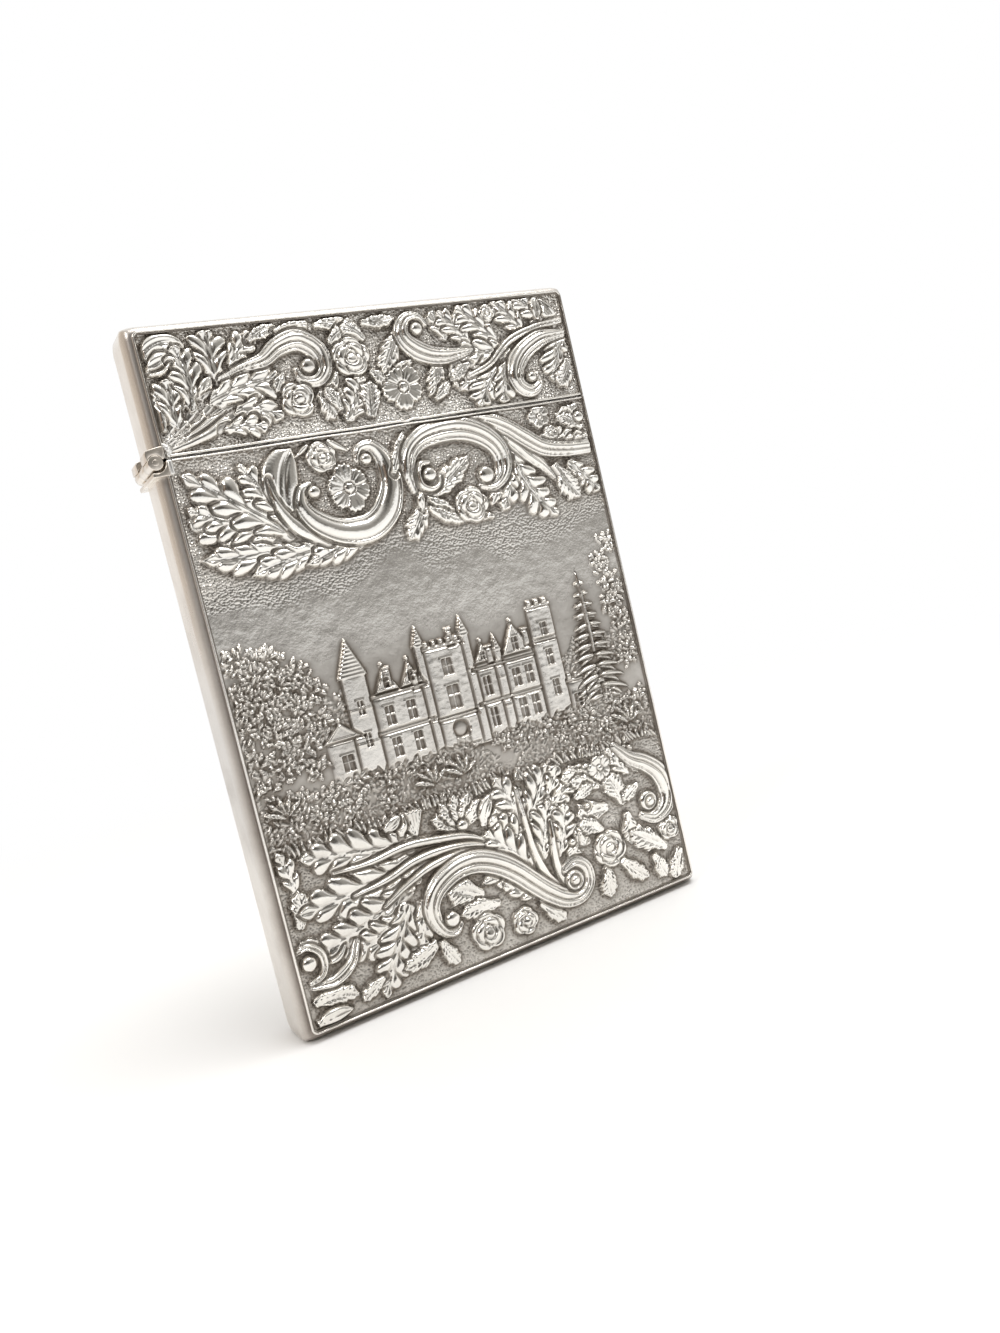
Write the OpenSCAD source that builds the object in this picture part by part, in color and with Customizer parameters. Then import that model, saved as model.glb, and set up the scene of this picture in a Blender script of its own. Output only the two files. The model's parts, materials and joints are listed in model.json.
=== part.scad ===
// Silver visiting card case with a hinged lid and embossed front and back plates.
// X runs across the case, Y through its thickness (the front faces -Y), Z up.
// The origin is the centre of the flat land under the case.

/* [Case] */
// Overall width across the side bands
case_w = 69.2; // [62:0.4:78]
// Overall height over the bottom and top bands
case_h = 99.2; // [92:0.4:110]
// Thickness from the front rim's face to the back rim's face
case_d = 10.8; // [9.6:0.2:14]
// Height of the joint line between body and lid
seam_h = 81.2; // [78:0.2:84]
// Gap left at the joint line when the lid is shut
seam_gap = 0.15; // [0.1:0.05:0.3]
// Radius of the case's corners along the rim
corner_r = 0.9; // [0.8:0.1:1.6]

/* [Sheet] */
// Thickness of the embossed plates
plate_t = 0.5; // [0.4:0.05:0.7]
// Thickness of the side bands
band_t = 0.5; // [0.4:0.05:0.6]
// How far the side bands swell beyond the rims
band_bulge = 1.2; // [0.6:0.1:1.6]
// Width of each rounded shoulder of the side bands
band_shoulder = 2.2; // [1.4:0.1:3]
// How far the plate's ground lies below the rim's face
ground_drop = 0.55; // [0.4:0.05:0.7]

/* [Rims] */
// Width of the reeded rims, seen from the front
rim_w = 0.5; // [0.4:0.05:0.6]
// Depth of the reeded rims, front to back
rim_d = 0.8; // [0.75:0.05:1]
// Depth of the groove between a rim's two reeds
reed_groove = 0.12; // [0.06:0.02:0.2]
// Height of the flat strips along the joint line
mouth_h = 0.45; // [0.35:0.05:0.7]

/* [Bezel] */
// Height of the inner bezel above the joint line
bezel_rise = 4.5; // [3:0.5:6]
// Depth of the inner bezel below the joint line
bezel_seat = 3.5; // [3:0.5:6]
// Thickness of the bezel sheet
bezel_t = 0.35; // [0.3:0.05:0.5]
// Clearance between the bezel and the lid's plates
bezel_clear = 0.15; // [0.1:0.05:0.25]
// Gap between the bezel's ends and the side walls
bezel_end_gap = 0.6; // [0.4:0.1:1]

/* [Hinge] */
// Outer radius of the hinge knuckles
knuckle_r = 1; // [0.9:0.05:1.1]
// Radius of the hinge pin
pin_r = 0.45; // [0.35:0.05:0.55]
// Radial clearance of the pin in its knuckles
pin_clear = 0.03; // [0.02:0.01:0.06]
// Distance of the hinge axis outside the rim line
axis_out = 1.1; // [1:0.05:1.2]
// Distance of the hinge axis below the joint line
axis_drop = 0.35; // [0.3:0.05:0.45]
// Gap between neighbouring knuckles
knuckle_gap = 0.1; // [0.05:0.05:0.2]
// Solder film between a knuckle and its own bearer
solder = 0.02; // [0.01:0.01:0.04]
// Clearance between a knuckle and the other half's bearer
bearer_clear = 0.3; // [0.25:0.05:0.4]
// Height of the lid's bearer above the hinge axis
lid_bearer_h = 2.0; // [1.8:0.1:2.4]
// Depth of the body's bearer below the hinge axis
body_bearer_h = 1.9; // [1.8:0.1:2.2]
// Width of the body bearer's ears where they lie over the plates
ear_lap = 0.6; // [0.4:0.1:0.8]

/* [Ornament] */
// Height of the boldest relief above the ground
relief_h = 1.2; // [0.8:0.1:1.5]
// Height of the smaller leaves and stems above the ground
leaf_h = 0.8; // [0.5:0.1:1.1]
// Height of the house in the landscape
house_h = 0.7; // [0.5:0.1:1]

/* [Hidden] */

silver = [0.78, 0.76, 0.73];
bright = [0.86, 0.85, 0.82];
shade = [0.62, 0.60, 0.57];

round_fn = 48;

// The rim line is the outline of the front and back rims
rim_half = case_w / 2 - band_bulge;
rim_bottom = band_bulge;
rim_top = case_h - band_bulge;
plate_half = rim_half - rim_w;
half_d = case_d / 2;
rim_back = half_d - rim_d;
ground = half_d - ground_drop;
plate_back = ground - plate_t;
body_top = seam_h - seam_gap / 2;
lid_bottom = seam_h + seam_gap / 2;

axis_x = -rim_half - axis_out;
axis_z = seam_h - axis_drop;
knuckle_len = (case_d - 2 * knuckle_gap) / 3;
bearer_wall = 0.15;
bearer_left = knuckle_r + bearer_wall;
bearer_lip = 0.7;
bearer_floor = knuckle_r + bearer_clear + bearer_wall;
bearer_foot = 0.25;
middle_rise = 1;

bezel_half = rim_half - band_t - bezel_end_gap;

// Sweeps a profile of (outward, depth) points round a U of two legs and a bottom
module u_sweep(left_leg, right_leg) {
    translate([-rim_half, 0, corner_r])
        linear_extrude(left_leg - corner_r) mirror([1, 0]) children();
    translate([rim_half, 0, corner_r])
        linear_extrude(right_leg - corner_r) children();
    translate([-(rim_half - corner_r), 0, 0])
        rotate([0, 90, 0]) linear_extrude(2 * (rim_half - corner_r)) children();
    for (side = [0, 1])
        translate([(side == 0 ? 1 : -1) * (rim_half - corner_r), 0, corner_r])
            rotate([-90, 0, 0]) rotate([0, 0, 90 * side])
                rotate_extrude(angle = 90, $fn = round_fn)
                    translate([corner_r, 0]) children();
}

// Stands a body's U on the rim line's bottom edge
module body_u(left_end, right_end)
    translate([0, 0, rim_bottom])
        u_sweep(left_end - rim_bottom, right_end - rim_bottom) children();

// Hangs a lid's U from the rim line's top edge
module lid_u(left_end, right_end)
    translate([0, 0, rim_top]) mirror([0, 0, 1])
        u_sweep(rim_top - left_end, rim_top - right_end) children();

// Outer edge of the band from one rim to the other, swelling in the middle
function band_edge(swell, steps = 5) = [
    for (i = [0 : steps]) let (t = i / steps)
        [swell * sin(90 * t), -rim_back + band_shoulder * (1 - cos(90 * t))]];

module band_profile() {
    outer = band_edge(band_bulge);
    inner = [for (p = band_edge(band_bulge, 3)) [p.x - band_t, p.y]];
    near_side = concat([for (i = [len(inner) - 1 : -1 : 0]) inner[i]], outer);
    far_side = [for (i = [len(near_side) - 1 : -1 : 0]) [near_side[i].x, -near_side[i].y]];
    polygon(concat(near_side, far_side));
}

// Two reeds side by side, with their feet on the band's edge
module rim_profile() {
    reed = rim_w / 2;
    bumps = [
        for (k = [0, 1]) for (i = [0 : 4]) let (a = 180 - 45 * i)
            [-rim_w + reed * (k + 0.5) + reed / 2 * cos(a),
             -half_d + reed_groove * (1 - sin(a))]];
    polygon(concat([[-rim_w, -rim_back]], bumps, [[0, -rim_back]]));
}

module turn_round() rotate([0, 0, 180]) children();

module body_band() color(bright)
    body_u(axis_z - body_bearer_h, body_top) band_profile();

module lid_band() color(bright)
    lid_u(axis_z + lid_bearer_h, lid_bottom) band_profile();

module body_front_rim() color(bright)
    body_u(axis_z - body_bearer_h, body_top) rim_profile();

module body_back_rim() color(bright)
    body_u(axis_z - body_bearer_h, body_top) mirror([0, 1]) rim_profile();

module lid_front_rim() color(bright)
    lid_u(lid_bottom, lid_bottom) rim_profile();

module lid_back_rim() color(bright)
    lid_u(lid_bottom, lid_bottom) mirror([0, 1]) rim_profile();

// Flat strip along the joint line, laid on a plate's ground beside the hinge's ear
module mouth_strip(bottom)
    translate([-plate_half + ear_lap, -half_d, bottom])
        cube([2 * plate_half - ear_lap, ground_drop, mouth_h]);

module body_front_mouth() color(bright) mouth_strip(body_top - mouth_h);
module body_back_mouth() color(bright) mirror([0, 1, 0]) mouth_strip(body_top - mouth_h);
module lid_front_mouth() color(bright) mouth_strip(lid_bottom);
module lid_back_mouth() color(bright) mirror([0, 1, 0]) mouth_strip(lid_bottom);

// Rectangular sleeve that stands up from the body's mouth into the lid
module bezel() color(silver) {
    lid_side = plate_back - bezel_clear;
    inside = lid_side - bezel_t;
    difference() {
        union() {
            translate([-bezel_half, -lid_side, body_top - bezel_seat])
                cube([2 * bezel_half, 2 * lid_side, bezel_rise + bezel_seat]);
            translate([-bezel_half, -plate_back, body_top - bezel_seat])
                cube([2 * bezel_half, 2 * plate_back, bezel_seat - seam_gap]);
        }
        translate([-bezel_half + bezel_t, -inside, body_top - bezel_seat - 1])
            cube([2 * (bezel_half - bezel_t), 2 * inside, bezel_rise + bezel_seat + 2]);
    }
}

// Runs a shape drawn in the case's front view through part of its thickness
module through(from_y, length)
    translate([axis_x, from_y + length, axis_z]) rotate([90, 0, 0])
        linear_extrude(length) children();

function knuckle_start(i) = -half_d + i * (knuckle_len + knuckle_gap);

module knuckle(i) through(knuckle_start(i), knuckle_len) difference() {
    circle(knuckle_r, $fn = round_fn);
    circle(pin_r + pin_clear, $fn = round_fn);
}

module lid_front_knuckle() color(shade) knuckle(0);
module body_knuckle() color(shade) knuckle(1);
module lid_back_knuckle() color(shade) knuckle(2);

module hinge_pin() color(silver)
    through(-half_d, case_d) circle(pin_r, $fn = round_fn);

// Trough above the knuckles, soldered to the lid's front and back knuckles
module lid_bearer() color(shade) difference() {
    union() {
        through(-half_d, case_d)
            translate([-bearer_left, bearer_foot])
                square([bearer_left + axis_out, lid_bearer_h - bearer_foot]);
        through(-rim_back, 2 * rim_back)
            translate([0, axis_drop + seam_gap / 2])
                square([axis_out + band_t, lid_bearer_h - axis_drop - seam_gap / 2]);
    }
    through(-half_d - 1, case_d + 2) circle(knuckle_r + solder, $fn = round_fn);
    through(knuckle_start(1) - knuckle_gap, knuckle_len + 2 * knuckle_gap)
        union() {
            circle(knuckle_r + bearer_clear, $fn = round_fn);
            translate([-bearer_left - 1, -1]) square([bearer_left + 1, middle_rise + 1]);
        }
}

// Trough below the knuckles, with an ear beside them, soldered to the body's knuckle
module body_bearer() color(shade) difference() {
    ear_top = axis_drop - seam_gap;
    union() {
        through(-half_d, case_d) difference() {
            translate([-bearer_lip, -body_bearer_h])
                square([bearer_lip + axis_out + rim_w, body_bearer_h + ear_top]);
            translate([-bearer_lip - 1, -bearer_floor])
                square([bearer_lip + 1, body_bearer_h + 3]);
        }
        for (start = [-half_d, ground])
            through(start, ground_drop) translate([axis_out, -body_bearer_h])
                square([rim_w + ear_lap, body_bearer_h + ear_top]);
    }
    through(knuckle_start(1), knuckle_len) circle(knuckle_r + solder, $fn = round_fn);
    for (i = [0, 2])
        through(knuckle_start(i) - (i == 0 ? 1 : knuckle_gap),
                knuckle_len + 1 + knuckle_gap)
            circle(knuckle_r + bearer_clear, $fn = round_fn);
}

// The ornament is drawn flat, x to the right, y up and z out of the plate's ground. In the
// drawing the rim's foot and the joint line have these heights, and it moves with them.
drawn_foot = 0.6;
drawn_seam = 80.4;
module with_foot() translate([0, rim_bottom - drawn_foot, 0]) children();
module with_joint() translate([0, seam_h - drawn_seam, 0]) children();
// Depth to which the relief's feet run down into the plate
sink = 0.25;
// Bare strip left inside the rims
bare_edge = 0.1;
leaf_fn = 6;
ball_fn = 8;

// A point at share t of a line that leaves p at angle dir and turns by curl in all
function bend(p, dir, length, curl, t) =
    [p.x + length * t * cos(dir + curl * t / 2), p.y + length * t * sin(dir + curl * t / 2)];

// A smooth line through chosen points, with sub steps between each two
function curve_at(a, b, c, d, t) =
    0.5 * (2 * b + t * (c - a) + t * t * (2 * a - 5 * b + 4 * c - d)
           + t * t * t * (3 * b - a - 3 * c + d));
function spline(p, sub = 2) = let (n = len(p) - 1) concat([
    for (i = [0 : n - 1]) for (k = [0 : sub - 1])
        curve_at(p[max(i - 1, 0)], p[i], p[i + 1], p[min(i + 2, n)], k / sub)],
    [p[n]]);

// Raised strip along a path with a half width and a height at each point. A grooved one
// has two crests, any other has one. A lean pushes its edges forward along the path.
module ribbon(path, half, high, groove = false, lean = 0) {
    n = len(path);
    across = groove ? [-1, -0.55, 0, 0.55, 1] : [-1, 0, 1];
    lift = groove ? [0, 1, 0.6, 1, 0] : [0, 1, 0];
    m = len(across);
    points = [
        for (i = [0 : n - 1])
            let (d = path[min(i + 1, n - 1)] - path[max(i - 1, 0)])
            let (ahead = d / norm(d) * half[i])
            for (k = [0 : m - 1]) let (push = lean * abs(across[k]))
                [path[i].x - ahead.y * across[k] + ahead.x * push,
                 path[i].y + ahead.x * across[k] + ahead.y * push,
                 high[i] * lift[k] - (lift[k] == 0 ? sink : 0)]];
    walls = [
        for (i = [0 : n - 2]) for (k = [0 : m - 1]) let (next = (k + 1) % m)
            [m * i + k, m * i + next, m * (i + 1) + next, m * (i + 1) + k]];
    ends = [[for (k = [m - 1 : -1 : 0]) k], [for (k = [0 : m - 1]) m * (n - 1) + k]];
    polyhedron(points, concat(walls, ends));
}

// Pointed leaf with a ridge along its middle
module leaf(p, dir, length, width, curl = 0, high = leaf_h, steps = 3) {
    belly = [for (i = [0 : steps]) sin(180 * pow(i / steps, 0.8))];
    ribbon([for (i = [0 : steps]) bend(p, dir, length, curl, i / steps)],
           [for (b = belly) max(0.1, width / 2 * b)],
           [for (b = belly) high * (0.4 + 0.6 * b)]);
}

// Acanthus frond: a ridged blade whose edges run out into forward-leaning lobes
module frond(p, dir, length, width, curl = 0, pairs = 3, high = leaf_h) {
    steps = 2 * pairs + 1;
    narrow = 0.35;
    lobes = [for (i = [0 : steps]) let (t = i / steps)
        i == steps ? 0.05 : width / 2 * (i % 2 == 0 ? narrow : 1) * (1 - 0.6 * t * t)];
    ribbon([for (i = [0 : steps]) bend(p, dir, length, curl, i / steps)], lobes,
           [for (i = [0 : steps]) high * (i % 2 == 0 ? 0.8 : 1.1)], false, 0.7);
}

// Band through chosen points, narrower towards both ends, and grooved where it is broad
module scroll(points, width, fine = true, high = relief_h, taper = 0.45) {
    path = spline(points, fine && width > 1.6 ? 2 : 1);
    n = len(path) - 1;
    swell = [for (i = [0 : n]) 1 - (1 - taper) * pow(abs(2 * i / n - 1), 2)];
    ribbon(path, [for (s = swell) width / 2 * s], [for (s = swell) high * (0.7 + 0.3 * s)],
           width > 1.6);
}

module bead(p, r, high = relief_h)
    translate([p.x, p.y, high - r]) sphere(r, $fn = leaf_fn);

// Outline of a flower with rounded-off petals between two radii
function petal_ring(outer, inner, petals) = [
    for (i = [0 : 2 * petals - 1]) let (a = i * 180 / petals, r = i % 2 == 0 ? outer : inner)
        [r * cos(a), r * sin(a)]];

// Full rose: two tiers of petals round a bud
module rose(p, r, petals = 5, high = relief_h) translate([p.x, p.y, -sink]) {
    linear_extrude(sink + high * 0.55, scale = 0.85) polygon(petal_ring(r, r * 0.85, petals));
    cylinder(sink + high * 0.85, r * 0.7, r * 0.5, $fn = petals);
    cylinder(sink + high, r * 0.3, r * 0.15, $fn = petals);
}

// Open flower with narrow petals round a small eye
module daisy(p, r, petals = 8) {
    translate([p.x, p.y, -sink]) linear_extrude(sink + leaf_h * 0.8, scale = 0.9)
        polygon(petal_ring(r, r * 0.75, petals));
    translate([p.x, p.y, -sink]) cylinder(sink + relief_h * 0.9, r * 0.4, r * 0.2, $fn = leaf_fn);
}

// Body front: the scrolls along the top, [points, width]
top_scrolls = [
    [[[-13.4, 73.6], [-15.4, 74.4], [-16.7, 72.4], [-15.8, 69.3], [-12.3, 67.2], [-8, 66.6],
      [-4.2, 68.4], [-2.4, 72.2], [-2.9, 76], [-5, 77.9], [-6.6, 77.3]], 2.6],
    [[[-18.6, 78], [-19.2, 74], [-18, 70], [-14.5, 66.8], [-10, 65.4]], 1.3],
    [[[5.2, 73.2], [3.4, 74.8], [1.8, 73], [2.3, 70.8], [4, 70.4]], 1.1],
    [[[1, 70.8], [0.9, 74], [3.4, 77.7], [8, 78.9], [13, 77.7], [15.9, 74.3], [15.3, 71.2],
      [13.2, 70.3]], 2.4],
    [[[10, 79.2], [15, 78.8], [19, 76], [23, 72], [27.5, 70.2], [31.8, 69.6]], 1.5],
    [[[13, 79], [18, 77.7], [22, 75.6], [27, 73.6], [32, 73.3]], 1.2]];
top_beads = [[-14.3, 72.9, 1], [-5.7, 76.2, 0.95], [3.9, 72.5, 1.05], [12.7, 71, 1]];
// Fronds as [x, y, direction, length, width, curl]
top_fronds = [
    [-12, 65.2, 185, 13, 3.8, -12], [-19, 66.2, 178, 13.5, 5, -30],
    [-18, 67, 152, 15, 4.6, 8], [-17.5, 68, 132, 14, 4.2, 10],
    [-18, 70, 112, 9, 3.2, 18], [19, 75.5, 285, 12, 4, 28], [23.5, 72.4, 290, 7, 3.4, 30],
    [27, 70.6, 320, 6, 3, 15]];
// Leaves as [x, y, direction, length, width, curl]
top_leaves = [
    [-19, 72, 80, 7.2, 3.4, -25], [-2.8, 72.6, 62, 7.6, 1.8, 10], [4.4, 70.3, 30, 7.4, 2.8, 0],
    [1.6, 69, 235, 6.6, 2.6, 20], [3, 67.5, 300, 7, 2, 35], [13.4, 69, 250, 4.6, 2, 40],
    [24.4, 75.6, 20, 7.4, 2, -15], [12.5, 66, 300, 4, 2, 10], [5, 69, 330, 3.6, 1.6, 0]];
top_roses = [[-12, 77.4, 2.2], [9.4, 66.9, 2.9], [22.6, 78, 1.6], [29.6, 77.6, 1.8]];
top_daisy = [-9, 72.7, 3.1];

// Body front: the scrolls along the bottom
low_scrolls = [
    [[[-8.6, 9.4], [-9, 7.2], [-11.2, 7.8], [-12.4, 10.6], [-11.2, 14.6], [-6.8, 17.4],
      [-1.4, 16], [3, 11.6], [6.2, 7.6], [10, 4.9], [13.6, 6], [14, 9.2], [12.2, 10.2]], 2.7],
    [[[-27, 14.2], [-20, 16.4], [-13, 19.6], [-6, 20.4], [-0.6, 17.8], [2.6, 14]], 1.5],
    [[[-20, 18], [-13, 21.2], [-7, 21.8], [-2, 20]], 1.1],
    [[[6.4, 25], [5.6, 19.4], [6.2, 14], [7.2, 10], [9, 7.4]], 1.3],
    [[[9.2, 18.6], [8.6, 14], [8.8, 10.4], [10.2, 8]], 1],
    [[[-31, 7.6], [-28, 7.2], [-25.6, 8.4], [-23.4, 10.6]], 1.1],
    [[[25, 23.8], [28, 21.8], [31, 19.4], [31.6, 15.6], [29.6, 12.6], [27.2, 13]], 1.7]];
low_beads = [[-9.8, 8.6, 1.1], [11.8, 8, 1.5], [-31.4, 10.4, 1.15], [-31.6, 8, 0.95],
             [27.6, 15, 1.5]];
low_fronds = [
    [-30.6, 19.6, 96, 7, 3, 14], [-12.4, 21, 168, 17.4, 6.8, 2], [-15, 16.6, 206, 12.4, 5, -50],
    [-13, 18.8, 190, 18.6, 6.6, -10], [-14.6, 15.6, 206, 17.4, 6.4, -20],
    [-16.6, 12.4, 214, 10.6, 5, -34], [-13.6, 13, 262, 9, 4.2, -20],
    [-15.4, 13.2, 236, 13.6, 6, 8], [3.6, 10.2, 158, 7, 3.6, -10], [5, 7.4, 152, 6.6, 3.4, -10],
    [5.6, 19, 108, 7.4, 3.6, 10], [5.8, 10.4, 118, 10.6, 5.4, 14], [6.4, 19, 62, 8, 4.6, -20],
    [8.6, 19.4, 30, 8, 3.4, -14], [6.8, 12.4, 70, 8.4, 4.4, -6], [9.8, 12, 64, 7.6, 4, 14]];
low_leaves = [
    [-31.4, 15.2, 70, 5.4, 3, 20], [-32.2, 4.6, 16, 7, 3, -50], [-12.6, 6.6, 214, 6.6, 3, -30],
    [-9, 12.4, 15, 5.2, 2.4, -20], [-4, 10.2, 140, 6.4, 4.4, 30], [-1.6, 8.4, 168, 6.8, 3, 20],
    [5, 6.2, 312, 5.6, 3, 0], [10.4, 21.6, 50, 5, 3, 10], [14.6, 24.2, 330, 6, 3.2, 20],
    [11.4, 11.4, 30, 5, 2.8, 20], [20.4, 16.4, 172, 6, 3.8, 10], [23.6, 16, 108, 6.4, 4, 10],
    [23.6, 14.6, 268, 5.4, 3.2, 0], [18.4, 22.6, 175, 5.4, 2.8, 0], [18, 7.6, 256, 5.2, 3.2, 10],
    [20.8, 7.8, 300, 6.4, 3, 30], [29.6, 7, 150, 8, 3.8, -10], [25.6, 20.4, 136, 6, 3.6, -30],
    [-12.4, 25.4, 235, 4.6, 2.6, 0], [-2, 25, 290, 4.4, 1.6, 30]];
low_roses = [[-4.6, 5.4, 2.8], [2, 4.5, 2.1], [19.4, 10.4, 2.9], [-5, 23, 2.2], [20.6, 23, 1.6],
             [30.6, 9, 2]];

// Lid front
lid_scrolls = [
    [[[-20.4, 89], [-17.6, 91.4], [-14.6, 93.3], [-11.4, 93.8], [-9, 92.2], [-8.5, 89.8],
      [-9.8, 88.2], [-11.8, 88.4], [-12.4, 89.8]], 2.6],
    [[[15.4, 89.6], [11, 89.2], [7.8, 89.8], [5.2, 91.6], [4.6, 93.6], [5.8, 95.2], [7.8, 95.4],
      [8.8, 94.2]], 2.4],
    [[[32.4, 90.6], [27.6, 90], [23.8, 88], [22, 85.4], [22.4, 83.2], [24.2, 82.3], [26, 83.2],
      [26, 84.8]], 2.4],
    [[[32.4, 92.6], [27, 91.8], [22, 90.2], [18, 87.2], [14, 85.8]], 1.4]];
// Stems that fan out of the lid's lower left corner
lid_stems = [
    [[-32.4, 82.6], [-31.2, 85], [-30.6, 88], [-30.8, 90.6]],
    [[-32.2, 82.2], [-30, 84.6], [-28.4, 87.6], [-27.6, 90.8], [-27.9, 93.4]],
    [[-32.2, 81.9], [-28.6, 85.2], [-25.2, 87.8], [-22.4, 90.8]],
    [[-32, 81.6], [-27.6, 84.2], [-23.6, 86.8], [-20, 89.4], [-17.6, 91]],
    [[-31.8, 81.4], [-27, 83.2], [-23, 84.8], [-19.6, 86]],
    [[-31.6, 81.2], [-27.4, 82.2], [-24, 83], [-21.2, 83.4]]];
lid_stem_w = 1.1;
lid_beads = [[-10.7, 90.1, 1.15], [7.1, 93.6, 1.05], [24.7, 84.4, 0.9], [-31.6, 93.6, 1.5]];
lid_fronds = [
    [-28.2, 88.6, 72, 7.4, 3.6, 20], [-25.6, 89.2, 82, 6.6, 3.6, -10],
    [-23.6, 89.6, 58, 8.2, 4.2, -6], [-24.6, 88.4, 10, 10.6, 4.4, -24],
    [-26, 86, 18, 11.4, 4.6, -32], [-26.8, 84, 12, 9.6, 4, -26], [-7, 81.8, 46, 7.4, 5, 26],
    [4, 93.4, 232, 7, 3.2, 10], [9.4, 88.8, 250, 6.4, 3.4, 10], [15.4, 90, 122, 7.4, 3.6, 14],
    [19.4, 90.2, 130, 8.4, 4, 8], [24.6, 90.8, 128, 7.4, 3.8, 6], [30, 92, 146, 8, 3.8, -10],
    [22.4, 88.6, 172, 9.6, 4, 10], [19, 86.6, 222, 7.4, 4, 16], [20.6, 87.2, 250, 6.6, 3.6, 10],
    [32, 91, 240, 8.4, 4, 10]];
lid_leaves = [
    [-20, 91.4, 44, 5.6, 3, 20], [-18.4, 94.4, 30, 5, 2.2, -20], [-14.4, 95.2, 14, 6.4, 2, -20],
    [-8.6, 95.6, 2, 7, 2.2, -10], [-10, 86.4, 290, 4.6, 3, 10], [-3, 81.8, 84, 5.4, 3.4, -10],
    [-1.4, 95.4, 350, 5.6, 2.2, 24], [12.2, 89.2, 272, 5.4, 3, -10], [11.4, 91.4, 100, 5, 3, 20],
    [32, 86.4, 246, 5, 3, -20]];
lid_roses = [[-13.3, 85.7, 2.7], [-4, 90.7, 3], [19.4, 94.8, 1.5]];
lid_daisy = [2.9, 85.5, 3.3];

module sprays(scrolls, beads, fronds, leaves, roses, fine = true) {
    for (s = scrolls) scroll(s[0], s[1], fine);
    for (b = beads) bead([b[0], b[1]], b[2]);
    for (f = fronds)
        frond([f[0], f[1]], f[2], f[3], f[4], f[5], fine && f[3] > 9 ? 3 : 2);
    for (l = leaves) leaf([l[0], l[1]], l[2], l[3], l[4], l[5]);
    for (r = roses) rose([r[0], r[1]], r[2]);
}

// Landscape with a towered country house
scene_base = 32;
house_walls = [
    // left, width, height, share of the full depth
    [-21.5, 5, 6.4, 0.5], [-13.6, 8.8, 11.4, 0.7], [-4.8, 7.6, 15.4, 1], [2.8, 11.4, 11.8, 0.7],
    [14.2, 4.2, 18, 0.9], [18.4, 7, 5.4, 0.5]];
// Round towers as [x, radius, height, height of the cap]
round_towers = [[-15.4, 1.9, 14.6, 5.6], [-4.6, 0.8, 16.6, 2.8], [2.8, 0.8, 16.6, 2.8],
                [7.6, 0.7, 13, 2.4]];
// Gables as [left, foot, width, height]
house_gables = [[-21.9, 6.4, 5.8, 2.6], [-12.6, 11.4, 3.6, 3.4], [-8.4, 11.4, 3.4, 3.4],
                [8.6, 11.8, 5, 4.6], [3.6, 11.8, 3.4, 2.8]];
// Windows as [left, foot, width, height]
house_windows = [
    [-12, 2, 1.3, 2.6], [-12, 6.6, 1.3, 2.6], [-8.6, 2, 1.3, 2.6], [-8.6, 6.6, 1.3, 2.6],
    [-2, 6.4, 2, 3.6], [-1.8, 11.6, 1.6, 2.2], [4.2, 2, 1.3, 2.8], [4.2, 6.8, 1.3, 2.8],
    [9.2, 2, 1.4, 3], [9.2, 6.8, 1.4, 3], [11.8, 2, 1.4, 3], [11.8, 6.8, 1.4, 3],
    [15.6, 4, 1.2, 2.4], [15.6, 9, 1.2, 2.4], [15.6, 13.4, 1.2, 2],
    [-19.8, 2, 1.6, 2.2], [-16, 5, 1, 2], [-16, 9.6, 1, 2]];
house_chimneys = [[-6.4, 12.4], [-10.4, 14], [6.6, 13], [12.8, 14.4]];
// Battlements as [left, foot, width of a merlon, spacing, count]
battlements = [[-4.2, 15.2, 1, 1.9, 4], [14.2, 17.8, 1, 1.6, 3]];
// Arches of the low wing as [left, width, height, spacing, count]
arches = [19.2, 1.4, 3.6, 2.2, 3];
doorway = [-2.2, 2.4, 3.6];

module house() translate([0, scene_base, 0]) difference() {
    union() {
        for (w = house_walls) translate([w[0], 0, -sink]) cube([w[1], w[2], sink + house_h * w[3]]);
        for (g = house_gables) translate([g[0], g[1], -sink]) linear_extrude(sink + house_h * 0.9)
            polygon([[0, 0], [g[2], 0], [g[2] / 2, g[3]]]);
        for (t = round_towers) translate([t[0], 0, 0])
            resize([0, 0, 2.4 * house_h]) rotate([-90, 0, 0]) {
                cylinder(t[2], t[1], t[1], $fn = ball_fn);
                translate([0, 0, t[2]]) cylinder(t[3], t[1] * 1.2, 0.05, $fn = ball_fn);
            }
        for (c = house_chimneys) translate([c[0], c[1] - 2, -sink])
            cube([0.9, 3.2, sink + house_h]);
        for (b = battlements) for (i = [0 : b[4] - 1])
            translate([b[0] + b[3] * i, b[1], -sink]) cube([b[2], 1.2, sink + house_h]);
    }
    for (w = house_windows) translate([w[0], w[1], house_h * 0.35]) cube([w[2], w[3], 3]);
    translate([doorway[0], -1, house_h * 0.4]) cube([doorway[1], doorway[2] + 1, 3]);
    for (i = [0 : arches[4] - 1])
        translate([arches[0] + arches[3] * i, 0, house_h * 0.2]) cube([arches[1], arches[2], 3]);
}

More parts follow.
